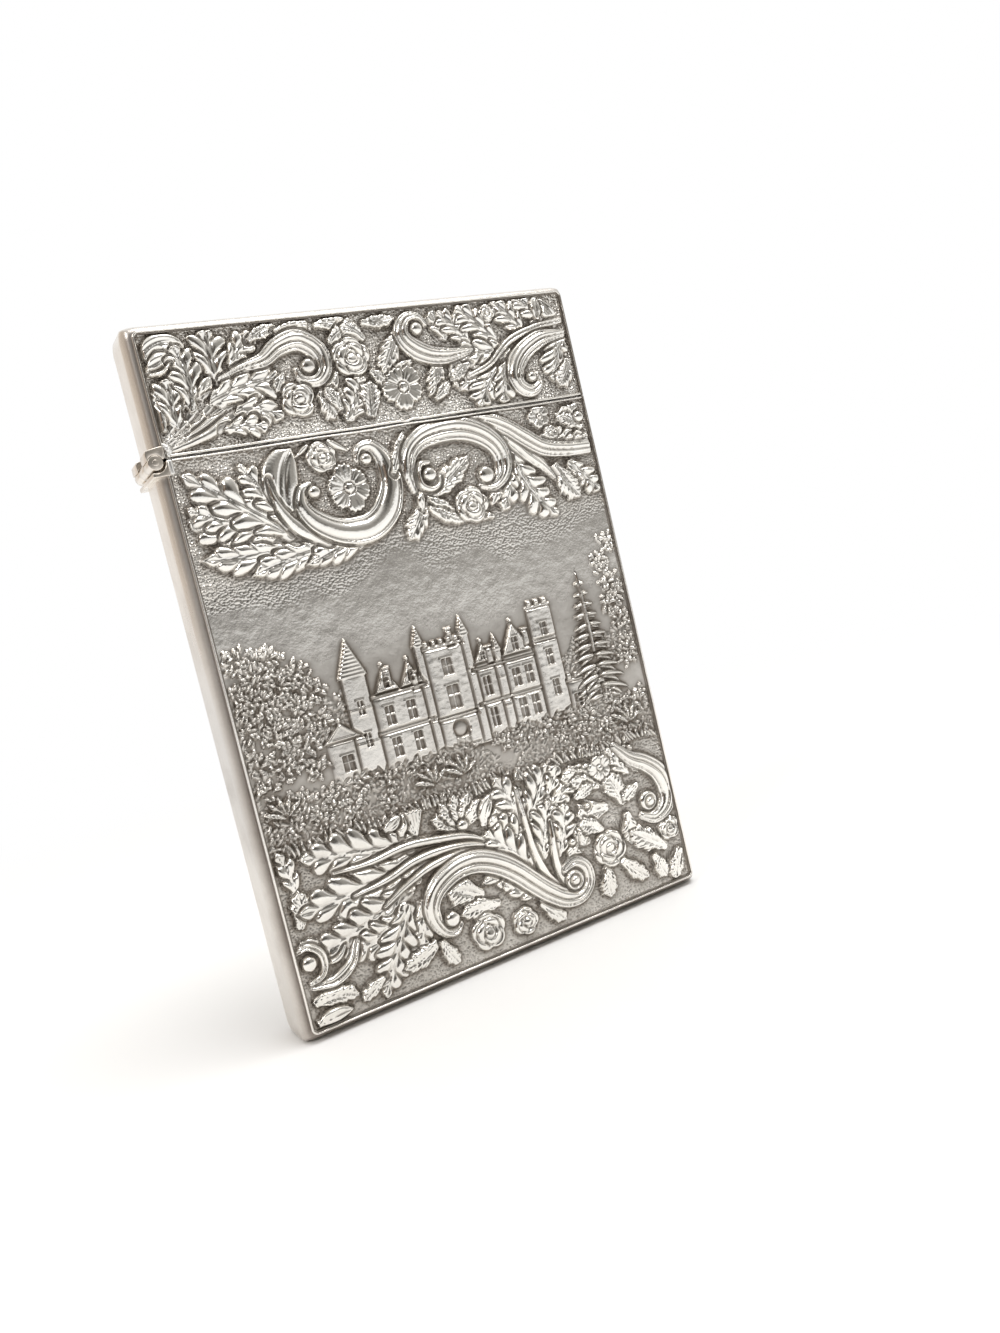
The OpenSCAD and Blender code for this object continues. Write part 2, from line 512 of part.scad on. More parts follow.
// Rounded tops of shrubs and trees as [x, y, radius]
shrubs = [
    [-31, 30.2, 2.4], [-26.6, 31.2, 2.4], [-22, 31, 2.1], [-17.6, 31.4, 1.8], [-13.4, 31.2, 1.7],
    [-9.2, 31.4, 1.7], [-5.4, 31, 1.5], [5.4, 31.2, 1.7], [9, 31.6, 1.8], [13, 31.2, 1.8],
    [17, 31.6, 1.9], [21, 31.2, 2.1], [25.8, 31.4, 2.3], [30.4, 31, 2.6], [-19.6, 28.8, 1.7],
    [-25.4, 28.4, 2], [19.4, 28.6, 1.7], [24, 28.6, 1.7], [28.6, 28.4, 1.9]];
treetops = [
    [-30.6, 52.4, 2.4], [-26.6, 51.2, 2.8], [-23, 49, 2.2], [-31.2, 47.8, 2.6],
    [-26.8, 47.4, 2.9], [-22, 45.8, 2], [-29.4, 44, 2.8], [-24.6, 43.4, 2.6], [-31.2, 39.8, 2.6],
    [-27, 40, 2.6], [-23.2, 39.4, 2.3], [-27.4, 36.4, 2.4], [-31.4, 35.2, 2.4],
    [-23.4, 35.6, 1.9], [30.4, 52.4, 2.3], [30.4, 48.2, 2.3], [31, 44.4, 2.2], [31, 39.8, 2.2]];
far_trees = [[-19, 42.6, 2.4], [21, 40.8, 2.6], [28.6, 41, 2.2]];

// Lawn in front of the house, a little higher than the ground
lawn = [26, 30.6];
lawn_h = 0.3;
// Kerb of turf along the lawn's foot
kerb_y = 25.4;
kerb_w = 1.6;
fir_foot = [24.6, 32.4];
fir_h = 21;
fir_w = 10.5;
fir_boughs = 4;

// Low dome with a flattened top, rounded by a hull
module dome(p, high) translate([p[0], p[1], -sink]) hull() {
    cylinder(sink, p[2], p[2], $fn = leaf_fn);
    cylinder(sink + high, p[2] * 0.7, p[2] * 0.7, $fn = leaf_fn);
}

// Fir: a trunk with drooping boughs in pairs
module fir(foot, height, width, boughs) {
    droop_low = 100;
    droop_high = 65;
    leaf(foot, 90, height, width * 0.16, 0, leaf_h, 2);
    for (i = [0 : boughs - 1]) for (side = [-1, 1]) {
        t = i / boughs;
        leaf([foot.x, foot.y + height * (0.12 + 0.8 * t)],
             90 - side * (droop_low + (droop_high - droop_low) * t),
             width / 2 * (1 - 0.8 * t), height * 0.11, -side * 25, leaf_h * 0.8, 2);
    }
}

module landscape() {
    kerb = [for (i = [0 : 8]) [plate_half * (i / 4 - 1), kerb_y]];
    house();
    for (t = far_trees) dome(t, leaf_h * 0.5);
    for (s = shrubs) dome(s, leaf_h * 0.8);
    for (t = treetops) dome(t, leaf_h * 0.85);
    fir(fir_foot, fir_h, fir_w, fir_boughs);
    translate([-plate_half, lawn[0], -sink])
        cube([2 * plate_half, lawn[1] - lawn[0], sink + lawn_h]);
    ribbon(kerb, [for (k = kerb) kerb_w / 2], [for (k = kerb) leaf_h * 0.8]);
}

// Sheet with rounded lower corners, x and y as in the front view
module plate_sheet(bottom, top) {
    r = corner_r - rim_w;
    hull() {
        for (side = [-1, 1]) {
            translate([side * (plate_half - r), bottom + r, -plate_t])
                cylinder(plate_t, r, r, $fn = 16);
            translate([side * (plate_half - r) - r, top - r, -plate_t]) cube([2 * r, r, plate_t]);
        }
    }
}

// Keeps the relief inside the rims and out of the plate's back
module inside_rims(bottom, top) intersection() {
    union() children();
    translate([-plate_half, bottom, -sink]) cube([2 * plate_half, top - bottom, 4 * relief_h]);
}

// Stands a drawn plate up with its ground facing the front
module stand() translate([0, -ground, 0]) rotate([90, 0, 0]) children();

body_foot = rim_bottom + rim_w;
lid_head = rim_top - rim_w;

module body_front_plate() color(silver) stand() {
    plate_sheet(body_foot, body_top);
    inside_rims(body_foot + bare_edge, body_top - mouth_h) {
        with_joint() {
            sprays(top_scrolls, top_beads, top_fronds, top_leaves, top_roses);
            daisy([top_daisy[0], top_daisy[1]], top_daisy[2]);
        }
        with_foot() {
            sprays(low_scrolls, low_beads, low_fronds, low_leaves, low_roses);
            landscape();
        }
    }
}

module lid_front_plate() color(silver) stand() {
    translate([0, lid_head + lid_bottom, 0]) mirror([0, 1, 0]) plate_sheet(lid_bottom, lid_head);
    inside_rims(lid_bottom + mouth_h, lid_head - bare_edge) with_joint() {
        sprays(lid_scrolls, lid_beads, lid_fronds, lid_leaves, lid_roses);
        for (s = lid_stems) scroll(s, lid_stem_w, false, leaf_h);
        daisy([lid_daisy[0], lid_daisy[1]], lid_daisy[2]);
    }
}

// Half of the back's all-over scrollwork, the other half being its mirror image
back_scrolls = [
    [[[6, 39.4], [4, 41.6], [5.6, 45], [10, 45.6], [14.6, 42.4], [16, 36.6], [13.6, 30],
      [7.6, 26.4], [1.4, 27.4]], 2.6],
    [[[19.6, 20], [16.6, 18.6], [15.2, 21.6], [17.6, 25.6], [22.8, 26], [27, 22], [27.6, 15.6],
      [24, 10], [17, 7], [8, 7.6], [1.6, 11.6]], 2.6],
    [[[20, 58.6], [17, 60.4], [15.4, 57.2], [17.8, 53.2], [23, 52.8], [27.4, 57], [28, 63.6],
      [24, 70], [17, 73.4], [8, 73], [1.6, 68.6]], 2.6]];
back_beads = [[6.6, 41.4, 1.2], [18.4, 21.2, 1.2], [18.6, 58, 1.2]];
back_fronds = [
    [15.6, 36, 20, 14, 5, 30], [14, 31, 330, 15, 5, -20], [5, 28, 300, 12, 4.4, -30],
    [10, 45.6, 70, 12, 4.6, 20], [22, 26, 60, 9, 4, -30],
    [24, 10, 320, 9, 4, 30], [24, 70, 30, 9, 4, 20], [8, 73, 130, 8, 3.6, -40],
    [27, 24, 80, 8, 3.4, 20], [8, 7.6, 210, 7, 3.2, 20], [10, 52, 100, 7, 3.2, 30],
    [12, 66, 250, 7, 3.2, -20]];
back_leaves = [[1.4, 49, 80, 8, 3, 0], [1.4, 33, 285, 6, 2.6, 0], [30.6, 45, 100, 7, 2.6, 10],
               [30.6, 34, 260, 7, 2.6, -10], [12, 12, 60, 6, 3, -20], [27, 55, 60, 6, 3, 10],
               [2, 56, 60, 6, 2.6, 20], [6, 20, 40, 6, 2.8, 10], [28.6, 69, 300, 6, 2.8, 10]];
back_roses = [[10.6, 37, 3.2], [22, 17.4, 2.8], [22.4, 62, 2.8], [26, 40.4, 2.6]];
// Flowers and upright leaves down the middle, as [height, radius] and [height, length, width]
middle_daisies = [[20, 3.2], [40.4, 3.6], [62, 3.2]];
middle_leaves = [[12.6, 5, 2.6], [33, 5, 2.6], [48.6, 5, 2.6], [76, 5, 2.6]];
lid_back_scrolls = [[[[7, 91.8], [5.2, 91.4], [4.6, 93], [6.4, 94.6], [10, 94.2], [13.4, 90.8],
                      [17.4, 86.4], [22.6, 84.4], [26.8, 86.6], [27.4, 90.4], [24.8, 92.6]], 2.2]];
lid_back_fronds = [[13.6, 91, 60, 6, 3, -40], [17.4, 86, 250, 5, 3, 20], [26.6, 88, 340, 6, 3, 30],
                   [4, 91, 240, 7, 3.2, 20]];
lid_back_leaves = [[12.6, 88.6, 215, 6, 2.8, 20], [27, 91, 60, 5, 2.4, 0]];
lid_back_roses = [[8, 90.2, 1.9], [23.4, 88.4, 2.1], [30, 84.8, 1.7], [18.6, 93, 1.9]];
lid_back_daisy = [0, 87.8, 3];

module both_halves() {
    children();
    mirror([1, 0, 0]) children();
}

module body_back_plate() color(silver) turn_round() stand() {
    plate_sheet(body_foot, body_top);
    inside_rims(body_foot + bare_edge, body_top - mouth_h) with_foot() {
        both_halves() sprays(back_scrolls, back_beads, back_fronds, back_leaves, back_roses, false);
        for (m = middle_daisies) daisy([0, m[0]], m[1]);
        for (m = middle_leaves) leaf([0, m[0]], 90, m[1], m[2]);
    }
}

module lid_back_plate() color(silver) turn_round() stand() {
    translate([0, lid_head + lid_bottom, 0]) mirror([0, 1, 0]) plate_sheet(lid_bottom, lid_head);
    inside_rims(lid_bottom + mouth_h, lid_head - bare_edge) with_joint() {
        both_halves() sprays(lid_back_scrolls, [], lid_back_fronds, lid_back_leaves,
                             lid_back_roses, false);
        daisy([lid_back_daisy[0], lid_back_daisy[1]], lid_back_daisy[2]);
    }
}

body_front_plate();
body_back_plate();
body_band();
body_front_rim();
body_back_rim();
body_front_mouth();
body_back_mouth();
bezel();
body_bearer();
body_knuckle();
hinge_pin();
lid_front_plate();
lid_back_plate();
lid_band();
lid_front_rim();
lid_back_rim();
lid_front_mouth();
lid_back_mouth();
lid_bearer();
lid_front_knuckle();
lid_back_knuckle();
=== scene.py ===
import json
import math

import bpy
import numpy as np
from mathutils import Euler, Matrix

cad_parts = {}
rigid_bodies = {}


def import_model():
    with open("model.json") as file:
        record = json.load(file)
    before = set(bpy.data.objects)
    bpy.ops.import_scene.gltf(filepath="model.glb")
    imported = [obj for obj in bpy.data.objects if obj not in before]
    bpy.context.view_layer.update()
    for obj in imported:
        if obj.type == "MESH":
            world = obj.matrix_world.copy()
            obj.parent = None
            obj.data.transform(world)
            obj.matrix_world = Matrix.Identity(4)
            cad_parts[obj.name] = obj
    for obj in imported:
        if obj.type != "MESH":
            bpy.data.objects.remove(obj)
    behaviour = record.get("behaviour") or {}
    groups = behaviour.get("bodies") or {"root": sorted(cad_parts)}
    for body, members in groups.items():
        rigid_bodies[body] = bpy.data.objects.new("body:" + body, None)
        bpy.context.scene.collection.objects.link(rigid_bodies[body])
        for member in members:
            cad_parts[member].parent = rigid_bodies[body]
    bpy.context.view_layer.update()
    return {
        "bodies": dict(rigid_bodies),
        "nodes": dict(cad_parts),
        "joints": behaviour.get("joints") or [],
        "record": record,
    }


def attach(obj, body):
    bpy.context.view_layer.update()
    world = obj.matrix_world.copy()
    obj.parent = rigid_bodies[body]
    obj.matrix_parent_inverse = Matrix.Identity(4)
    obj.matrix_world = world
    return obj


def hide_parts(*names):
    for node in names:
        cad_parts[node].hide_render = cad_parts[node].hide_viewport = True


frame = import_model()

# Sizes in millimetres, as in the CAD model
MM = 0.001
RIM_HALF = 33.4
RIM_FOOT = 1.2
RIM_HEAD = 98.0
CORNER = 0.9
RIM_W = 0.5
HALF_D = 5.4
RIM_BACK = 4.6
BULGE = 1.2
SHOULDER = 2.2
BAND_T = 0.5
PLATE_HALF = 32.9
GROUND = 4.85
PLATE_BACK = 4.35
BODY_FOOT = 1.7
BODY_TOP = 81.125
LID_BOTTOM = 81.275
LID_HEAD = 97.5
MOUTH = 0.45
AXIS_X = -34.5
AXIS_Z = 80.85
BODY_BEARER = 1.9
LID_BEARER = 2.0
# How far the drawn ornament stands higher on the plates, at the foot and at the joint line
FOOT_LIFT = 0.6
JOINT_LIFT = 0.8


# Relief: every form below is laid on a grid of heights over a plate's ground, in millimetres
MOAT = 0.35
PILLOW = 0.42
MOULDING = ((-0.8, 0.2, 0.96), (-0.02, 0.6, 1.0), (0.82, 0.2, 0.74))
TWIN = ((-0.55, 0.45, 1.0), (0.5, 0.5, 0.85))
REED = ((0.0, 1.0, 1.0),)
FLUTED = ((-0.82, 0.17, 0.84), (-0.28, 0.38, 1.0), (0.36, 0.24, 0.86), (0.8, 0.2, 0.8))
# A kind of leaf: lobes a side, depth of the notches, forward lean of the lobes, depth of the flutes
PLUME = (5, 0.5, 1.5, 0.62)
PLUMP = (4, 0.46, 1.5, 0.62)
ACANTHUS = (6, 0.42, 1.1, 0.58)
LOBED = (PLUME, PLUMP, ACANTHUS)
SERRATE = (8, 0.15, 1.0, 0.14)
FERN = (10, 0.6, 1.0, 0.85)
PLAIN = (1, 0.0, 0.6, 0.0)


def spline(points, sub=8):
    """Smooth line through chosen points."""
    p = np.array(points, float)
    p = np.vstack([2 * p[0] - p[1], p, 2 * p[-1] - p[-2]])
    t = np.linspace(0, 1, sub, endpoint=False)[:, None]
    parts = []
    for i in range(1, len(p) - 2):
        a, b, c, d = p[i - 1:i + 3]
        parts.append(0.5 * (2 * b + t * (c - a) + t**2 * (2 * a - 5 * b + 4 * c - d)
                            + t**3 * (3 * b - a - 3 * c + d)))
    return np.vstack(parts + [p[-2:-1]])


def bend(x, y, direction, length, curl, steps=20):
    """Spine that leaves (x, y) in a direction and turns by curl degrees in all."""
    heading = np.radians(direction + curl * np.linspace(0, 1, steps))
    stride = length / steps
    px = x + stride * np.concatenate([[0], np.cumsum(np.cos(heading))])
    py = y + stride * np.concatenate([[0], np.cumsum(np.sin(heading))])
    return np.stack([px, py], 1)


def track(path, px, py):
    """Share of the path's length, signed distance from it and its length, for each point."""
    legs = np.diff(path, axis=0)
    sizes = np.hypot(legs[:, 0], legs[:, 1])
    begins = np.concatenate([[0], np.cumsum(sizes)])
    best = np.full(px.shape, 1e9)
    share = np.zeros(px.shape)
    turn = np.zeros(px.shape)
    for begin, start, leg, size in zip(begins, path, legs, sizes):
        dx = px - start[0]
        dy = py - start[1]
        t = np.clip((dx * leg[0] + dy * leg[1]) / size**2, 0, 1)
        far = (dx - t * leg[0]) ** 2 + (dy - t * leg[1]) ** 2
        near = far < best
        best = np.where(near, far, best)
        share = np.where(near, begin + t * size, share)
        turn = np.where(near, leg[0] * dy - leg[1] * dx, turn)
    return share / begins[-1], np.copysign(np.sqrt(best), turn), begins[-1]


def cells(x, y, size, seed):
    """Distance to the nearest of a field of scattered points, in shares of their spacing."""
    spots = np.random.default_rng(seed).random((64, 64, 2))
    cx = x / size
    cy = y / size
    ix = np.floor(cx).astype(int)
    iy = np.floor(cy).astype(int)
    best = np.full(x.shape, 9.0)
    for ox in (-1, 0, 1):
        for oy in (-1, 0, 1):
            spot = spots[(ix + ox) % 64, (iy + oy) % 64]
            far = (ix + ox + spot[..., 0] - cx) ** 2 + (iy + oy + spot[..., 1] - cy) ** 2
            best = np.minimum(best, far)
    return np.sqrt(best)


def smooth(field, radius):
    """Blurs a field by running means over the given number of cells each way."""
    out = field
    width = 2 * radius + 1
    for _ in range(3):
        run = np.cumsum(np.pad(out, ((radius + 1, radius), (0, 0)), mode="edge"), axis=0)
        out = (run[width:] - run[:-width]) / width
        run = np.cumsum(np.pad(out, ((0, 0), (radius + 1, radius)), mode="edge"), axis=1)
        out = (run[:, width:] - run[:, :-width]) / width
    return out


def rounded(u, power=2):
    """Falls from 1 in the middle to 0 at the edge, as a rounded shoulder does."""
    return np.clip(1 - np.abs(u) ** power, 0, 1) ** 0.5


class Panel:
    """Height of a plate's relief above its ground, on a grid of x across and y up."""

    def __init__(self, left, right, foot, head, step):
        self.x = np.linspace(left, right, int(round((right - left) / step)) + 1)
        self.y = np.linspace(foot, head, int(round((head - foot) / step)) + 1)
        self.step = step
        self.px, self.py = np.meshgrid(self.x, self.y)
        self.high = np.zeros(self.px.shape)
        self.pillow = PILLOW

    def lift(self, amount):
        """Moves what is drawn next up over the plate."""
        self.y = self.y - amount
        self.py = self.py - amount

    def near(self, spots, reach):
        """Slices of the grid that hold what lies within reach of the given spots."""
        spots = np.asarray(spots)
        i0, i1 = np.searchsorted(self.x, [spots[:, 0].min() - reach, spots[:, 0].max() + reach])
        j0, j1 = np.searchsorted(self.y, [spots[:, 1].min() - reach, spots[:, 1].max() + reach])
        return slice(j0, j1), slice(i0, i1)

    def lay(self, at, high, outside, over=0.3, moat=MOAT):
        """Lays a form with rounded edges over what is there, and sinks a line along its edge."""
        under = self.high[at]
        sunk = under * (0.3 + 0.7 * np.clip(outside / moat, 0, 1))
        edge = np.clip(1 + outside / self.pillow, 0, 1)
        top = np.maximum(high * (0.25 + 0.75 * (1 - edge**2) ** 0.5), under * over)
        self.high[at] = np.where(outside < 0, top, sunk)


def band(panel, points, widths, reeds=MOULDING, high=1.15, flip=1, ends=(0.55, 0.55)):
    """Moulded strip along a curve, with its widths from start to end."""
    path = spline(points)
    at = panel.near(path, max(widths))
    share, off, _ = track(path, panel.px[at], panel.py[at])
    half = np.interp(share, np.linspace(0, 1, len(widths)), widths) / 2
    u = flip * off / half
    body = 0.42 * (np.abs(u) < 1)
    for place, reach, top in reeds:
        crown = rounded((u - place) / reach)
        body = np.maximum(body, top * (0.45 + 0.55 * crown) * (crown > 0))
    rise = np.interp(share, [0, 0.25, 0.75, 1], [ends[0], 1, 1, ends[1]])
    panel.lay(at, high * rise * body * rounded(u) ** 0.5, (np.abs(u) - 1) * half)


def leaf(panel, x, y, direction, length, width, curl=0, kind=ACANTHUS, high=1.0):
    """Leaf whose lobes or teeth lean forward from its rib; big lobes turn out at their tips."""
    lobes, notch, lean, flute = kind
    lobed = kind in LOBED
    path = bend(x, y, direction, length, curl)
    at = panel.near(path, width)
    share, off, total = track(path, panel.px[at], panel.py[at])
    away = np.abs(off)
    if lobed:
        lobes = min(lobes, max(2, round(length / 2.1)))
        root = share - lean * np.sqrt(away * width) / 2 / total
    else:
        root = share - lean * away / total
    inner = np.clip(root, 0, 1)
    belly = np.sin(math.pi * np.clip(inner, 0.04, 1) ** 0.62) ** 0.7
    point = np.clip((1 - share) / 0.14, 0, 1) ** 0.5
    phase = 1.7 * x + 2.3 * y + 1.3 * np.sign(off)
    wave = np.abs(np.sin(math.pi * (lobes * inner + 0.15 + 0.05 * np.sin(5 * inner + phase))))
    stray = 1 + 0.1 * np.sin(0.8 * math.pi * lobes * inner + phase)
    reach = width / 2 * belly * point * (1 - notch * (1 - wave**0.5)) * stray + 0.04
    u = np.clip(away / reach, 0, 1)
    outside = away - reach
    past = (root < -0.08) | (share >= 1) | (share <= 0)
    outside = np.where(past, np.maximum(outside, 0.04), outside)
    groove = 0.4 if lobed else 0.3
    valley = np.exp(-((wave / groove) ** 2)) * np.clip((u - 0.1) / 0.5, 0, 1)
    crest = 0.5 + 0.5 * np.sin(math.pi * u**0.9) ** 0.8
    rib = 0.3 * np.exp(-((off / 0.2) ** 2)) - 0.14 * np.exp(-(((away - 0.42) / 0.2) ** 2))
    roll = 0.82 + 0.22 * np.sin(math.pi * np.clip(share * 1.1, 0, 1)) ** 2
    swell = 0.24 if lobed else 0.04
    body = crest * (1 - flute * valley) * (1 - swell * (1 - wave)) + rib * (1 - share) ** 0.5
    panel.lay(at, high * roll * body, outside)


def fan(panel, x, y, direction, length, width, pleats=7, high=1.0):
    """Pleated shell or open bell of a flower, spreading from its foot."""
    at = panel.near([(x, y)], length + 1)
    dx = panel.px[at] - x
    dy = panel.py[at] - y
    angle = np.arctan2(dy, dx) - math.radians(direction)
    angle = (angle + math.pi) % (2 * math.pi) - math.pi
    far = np.hypot(dx, dy)
    open_half = math.atan2(width / 2, length)
    fold = np.cos(math.pi * pleats * angle / (2 * open_half))
    reach = length * (0.94 + 0.06 * np.abs(fold))
    outside = np.maximum(far - reach, (np.abs(angle) - open_half) * np.maximum(far, 0.3))
    share = np.clip(far / length, 0, 1)
    body = high * (0.55 + 0.45 * share) * (0.72 + 0.28 * np.abs(fold) ** 0.8)
    panel.lay(at, body, outside)


def dab(panel, x, y, angle, length, width, high):
    """One small leaf of a tree: a rounded dab, higher towards its tip."""
    at = panel.near([(x, y)], length)
    a = math.radians(angle)
    dx = panel.px[at] - x
    dy = panel.py[at] - y
    along = (dx * math.cos(a) + dy * math.sin(a)) / (length / 2)
    across = (dy * math.cos(a) - dx * math.sin(a)) / (width / 2)
    far = np.hypot(along, across + 0.25 * along**2)
    body = high * (0.72 + 0.28 * along)
    panel.lay(at, body, (far - 1) * width / 2, 0.4, 0.2)


def blade(panel, x, y, direction, length, width, curl=0, high=0.85, fullest=0.75, swell=-0.2):
    """Pointed leaf, lobe or tendril with one rounded ridge."""
    path = bend(x, y, direction, length, curl, 10)
    at = panel.near(path, width)
    share, off, _ = track(path, panel.px[at], panel.py[at])
    half = width / 2 * np.sin(math.pi * np.clip(share, 0.06, 0.995) ** fullest) ** 0.6 + 0.02
    u = off / half
    outside = (np.abs(u) - 1) * half
    outside = np.where((share >= 1) | (share <= 0), np.maximum(outside, 0.03), outside)
    body = high * (0.4 + 0.6 * rounded(u)) * (1 + swell * share)
    panel.lay(at, body, outside, moat=0.25)


def bead(panel, x, y, r, high=1.15):
    """Ball at the eye of a scroll."""
    at = panel.near([(x, y)], r + 1)
    far = np.hypot(panel.px[at] - x, panel.py[at] - y) / r
    panel.lay(at, high * (0.35 + 0.65 * rounded(far)), (far - 1) * r)


def rose(panel, x, y, r, turn=0, high=1.15, petals=5):
    """Full rose: tiers of cupped petals, each over the last, round a bud."""
    at = panel.near([(x, y)], r + 1)
    dx = panel.px[at] - x
    dy = panel.py[at] - y
    body = np.zeros(dx.shape)
    outside = np.hypot(dx, dy) - 0.7 * r
    tiers = ((0.42, 0.58, petals, 0.76), (0.24, 0.46, 3, 0.96), (0.06, 0.27, 2, 1.02))
    for k, (far, size, count, top) in enumerate(tiers):
        for i in range(count):
            a = math.radians(turn) + 2 * math.pi * i / count + 0.7 * k
            ax = dx - far * r * math.cos(a)
            ay = dy - far * r * math.sin(a)
            u = np.hypot(ax, ay) / (size * r)
            along = (ax * math.cos(a) + ay * math.sin(a)) / (size * r)
            cup = top * (0.64 + 0.36 * np.clip(0.5 + 0.6 * along, 0, 1)) * (0.5 + 0.5 * rounded(u, 3))
            under = body * (0.66 + 0.34 * np.clip((u - 1) / 0.25, 0, 1))
            body = np.where(u < 1, cup, under)
            if k == 0:
                outside = np.minimum(outside, (u - 1) * size * r)
    panel.lay(at, high * body, outside)


def daisy(panel, x, y, r, turn=0, petals=7, high=0.85, heart=0.22, frill=0.2):
    """Open flower whose broad creased petals lie over each other round a grained heart."""
    at = panel.near([(x, y)], r + 1)
    dx = panel.px[at] - x
    dy = panel.py[at] - y
    far = np.hypot(dx, dy)
    angle = np.arctan2(dy, dx) - math.radians(turn)
    turns = (petals * angle / (2 * math.pi)) % 1
    number = np.floor(petals * angle / (2 * math.pi)) % petals
    side = np.abs(2 * turns - 1)
    stray = 0.07 * np.sin(2.4 * number + 5 * x)
    reach = r * (1 - frill * side**3 + stray * (1 - side**4) - 0.035 * np.cos(9 * math.pi * turns))
    u = far / reach
    inside = np.clip(u, 0, 1)
    crease = np.exp(-(((turns - 0.5) / 0.07) ** 2)) + 0.5 * np.exp(-(((side - 0.55) / 0.08) ** 2))
    body = high * (0.5 + 0.44 * inside) * (1.03 - 0.2 * turns**2) * (1 - 0.13 * crease * inside)
    body = body * (0.5 + 0.5 * rounded(inside, 5)) * np.clip(0.66 + 4 * np.minimum(turns, 1 - turns), 0, 1)
    core = far / (heart * r)
    dome = high * (0.66 + 0.3 * rounded(core)) - 0.16 * cells(dx, dy, 0.34, 5)
    body = np.where(core < 1, dome, body * np.clip(0.4 + 1.4 * (core - 1), 0.4, 1))
    panel.lay(at, body, (u - 1) * reach)


def dent(panel, depth=0.05, seed=3):
    """Leaves the hammered sheet a little uneven, on a broad and on a fine scale."""
    draw = np.random.default_rng(seed)
    broad = smooth(draw.standard_normal(panel.high.shape), round(1.2 / panel.step))
    fine = smooth(draw.standard_normal(panel.high.shape), max(1, round(0.3 / panel.step)))
    panel.high += depth * (broad / broad.std() + 0.5 * fine / fine.std())


TOOTHED = (5, 0.3, 1.0, 0.3)

# Each list places its forms in millimetres, x across the case and y up it.
# Leaves are x, y, direction, length, width, curl, kind
TOP_LEAVES = (
    (-17.5, 66.6, 172, 16, 6, -24, PLUME),
    (-18.6, 65.8, 184, 13.6, 4.6, -14, TOOTHED),
    (-14, 65, 184, 12, 4.4, 10, TOOTHED),
    (-6.8, 65.8, 190, 11.6, 4, 8, TOOTHED),
    (-21, 68, 158, 12.6, 5.4, -8, ACANTHUS),
    (-18.4, 67.2, 140, 17.4, 6, 2, PLUME),
    (-18.2, 68.4, 122, 11.6, 4.6, -4, PLUME),
    (-17.4, 70, 122, 5.4, 2.4, -10, PLAIN),
)


def top_left(p):
    for row in TOP_LEAVES:
        leaf(p, *row)
    leaf(p, -18.8, 70.6, 98, 9.6, 5.4, -52, PLAIN)
    band(p, [(-20.4, 75.6), (-20.2, 73), (-19.2, 70.4), (-17.2, 67.8), (-14, 65.8)],
         (0.6, 1.4, 2.2, 2), REED, 0.95)
    rose(p, -12, 77.4, 2.4, 30)
    blade(p, -10.8, 79.6, 325, 3.6, 1.1)
    blade(p, -13.6, 79.4, 215, 2.6, 0.9)
    daisy(p, -9, 72.5, 3.4, 10, 6, frill=0.16)
    band(p, [(-14.6, 74), (-16, 73.2), (-16.4, 71.2), (-15.2, 69), (-12.7, 67.2), (-10, 66.4),
             (-7, 66.6), (-4.4, 68.3), (-2.8, 71.2), (-2.5, 74), (-3.1, 76.4), (-4.5, 77.9),
             (-6.2, 77.7), (-6.8, 76.2)], (1.1, 3.4, 4.4, 4.4, 3, 1.1))
    bead(p, -14.3, 72.8, 1)
    bead(p, -5.6, 76.1, 0.95)
    leaf(p, -2, 73.4, 60, 6.8, 2.2, 4, SERRATE)


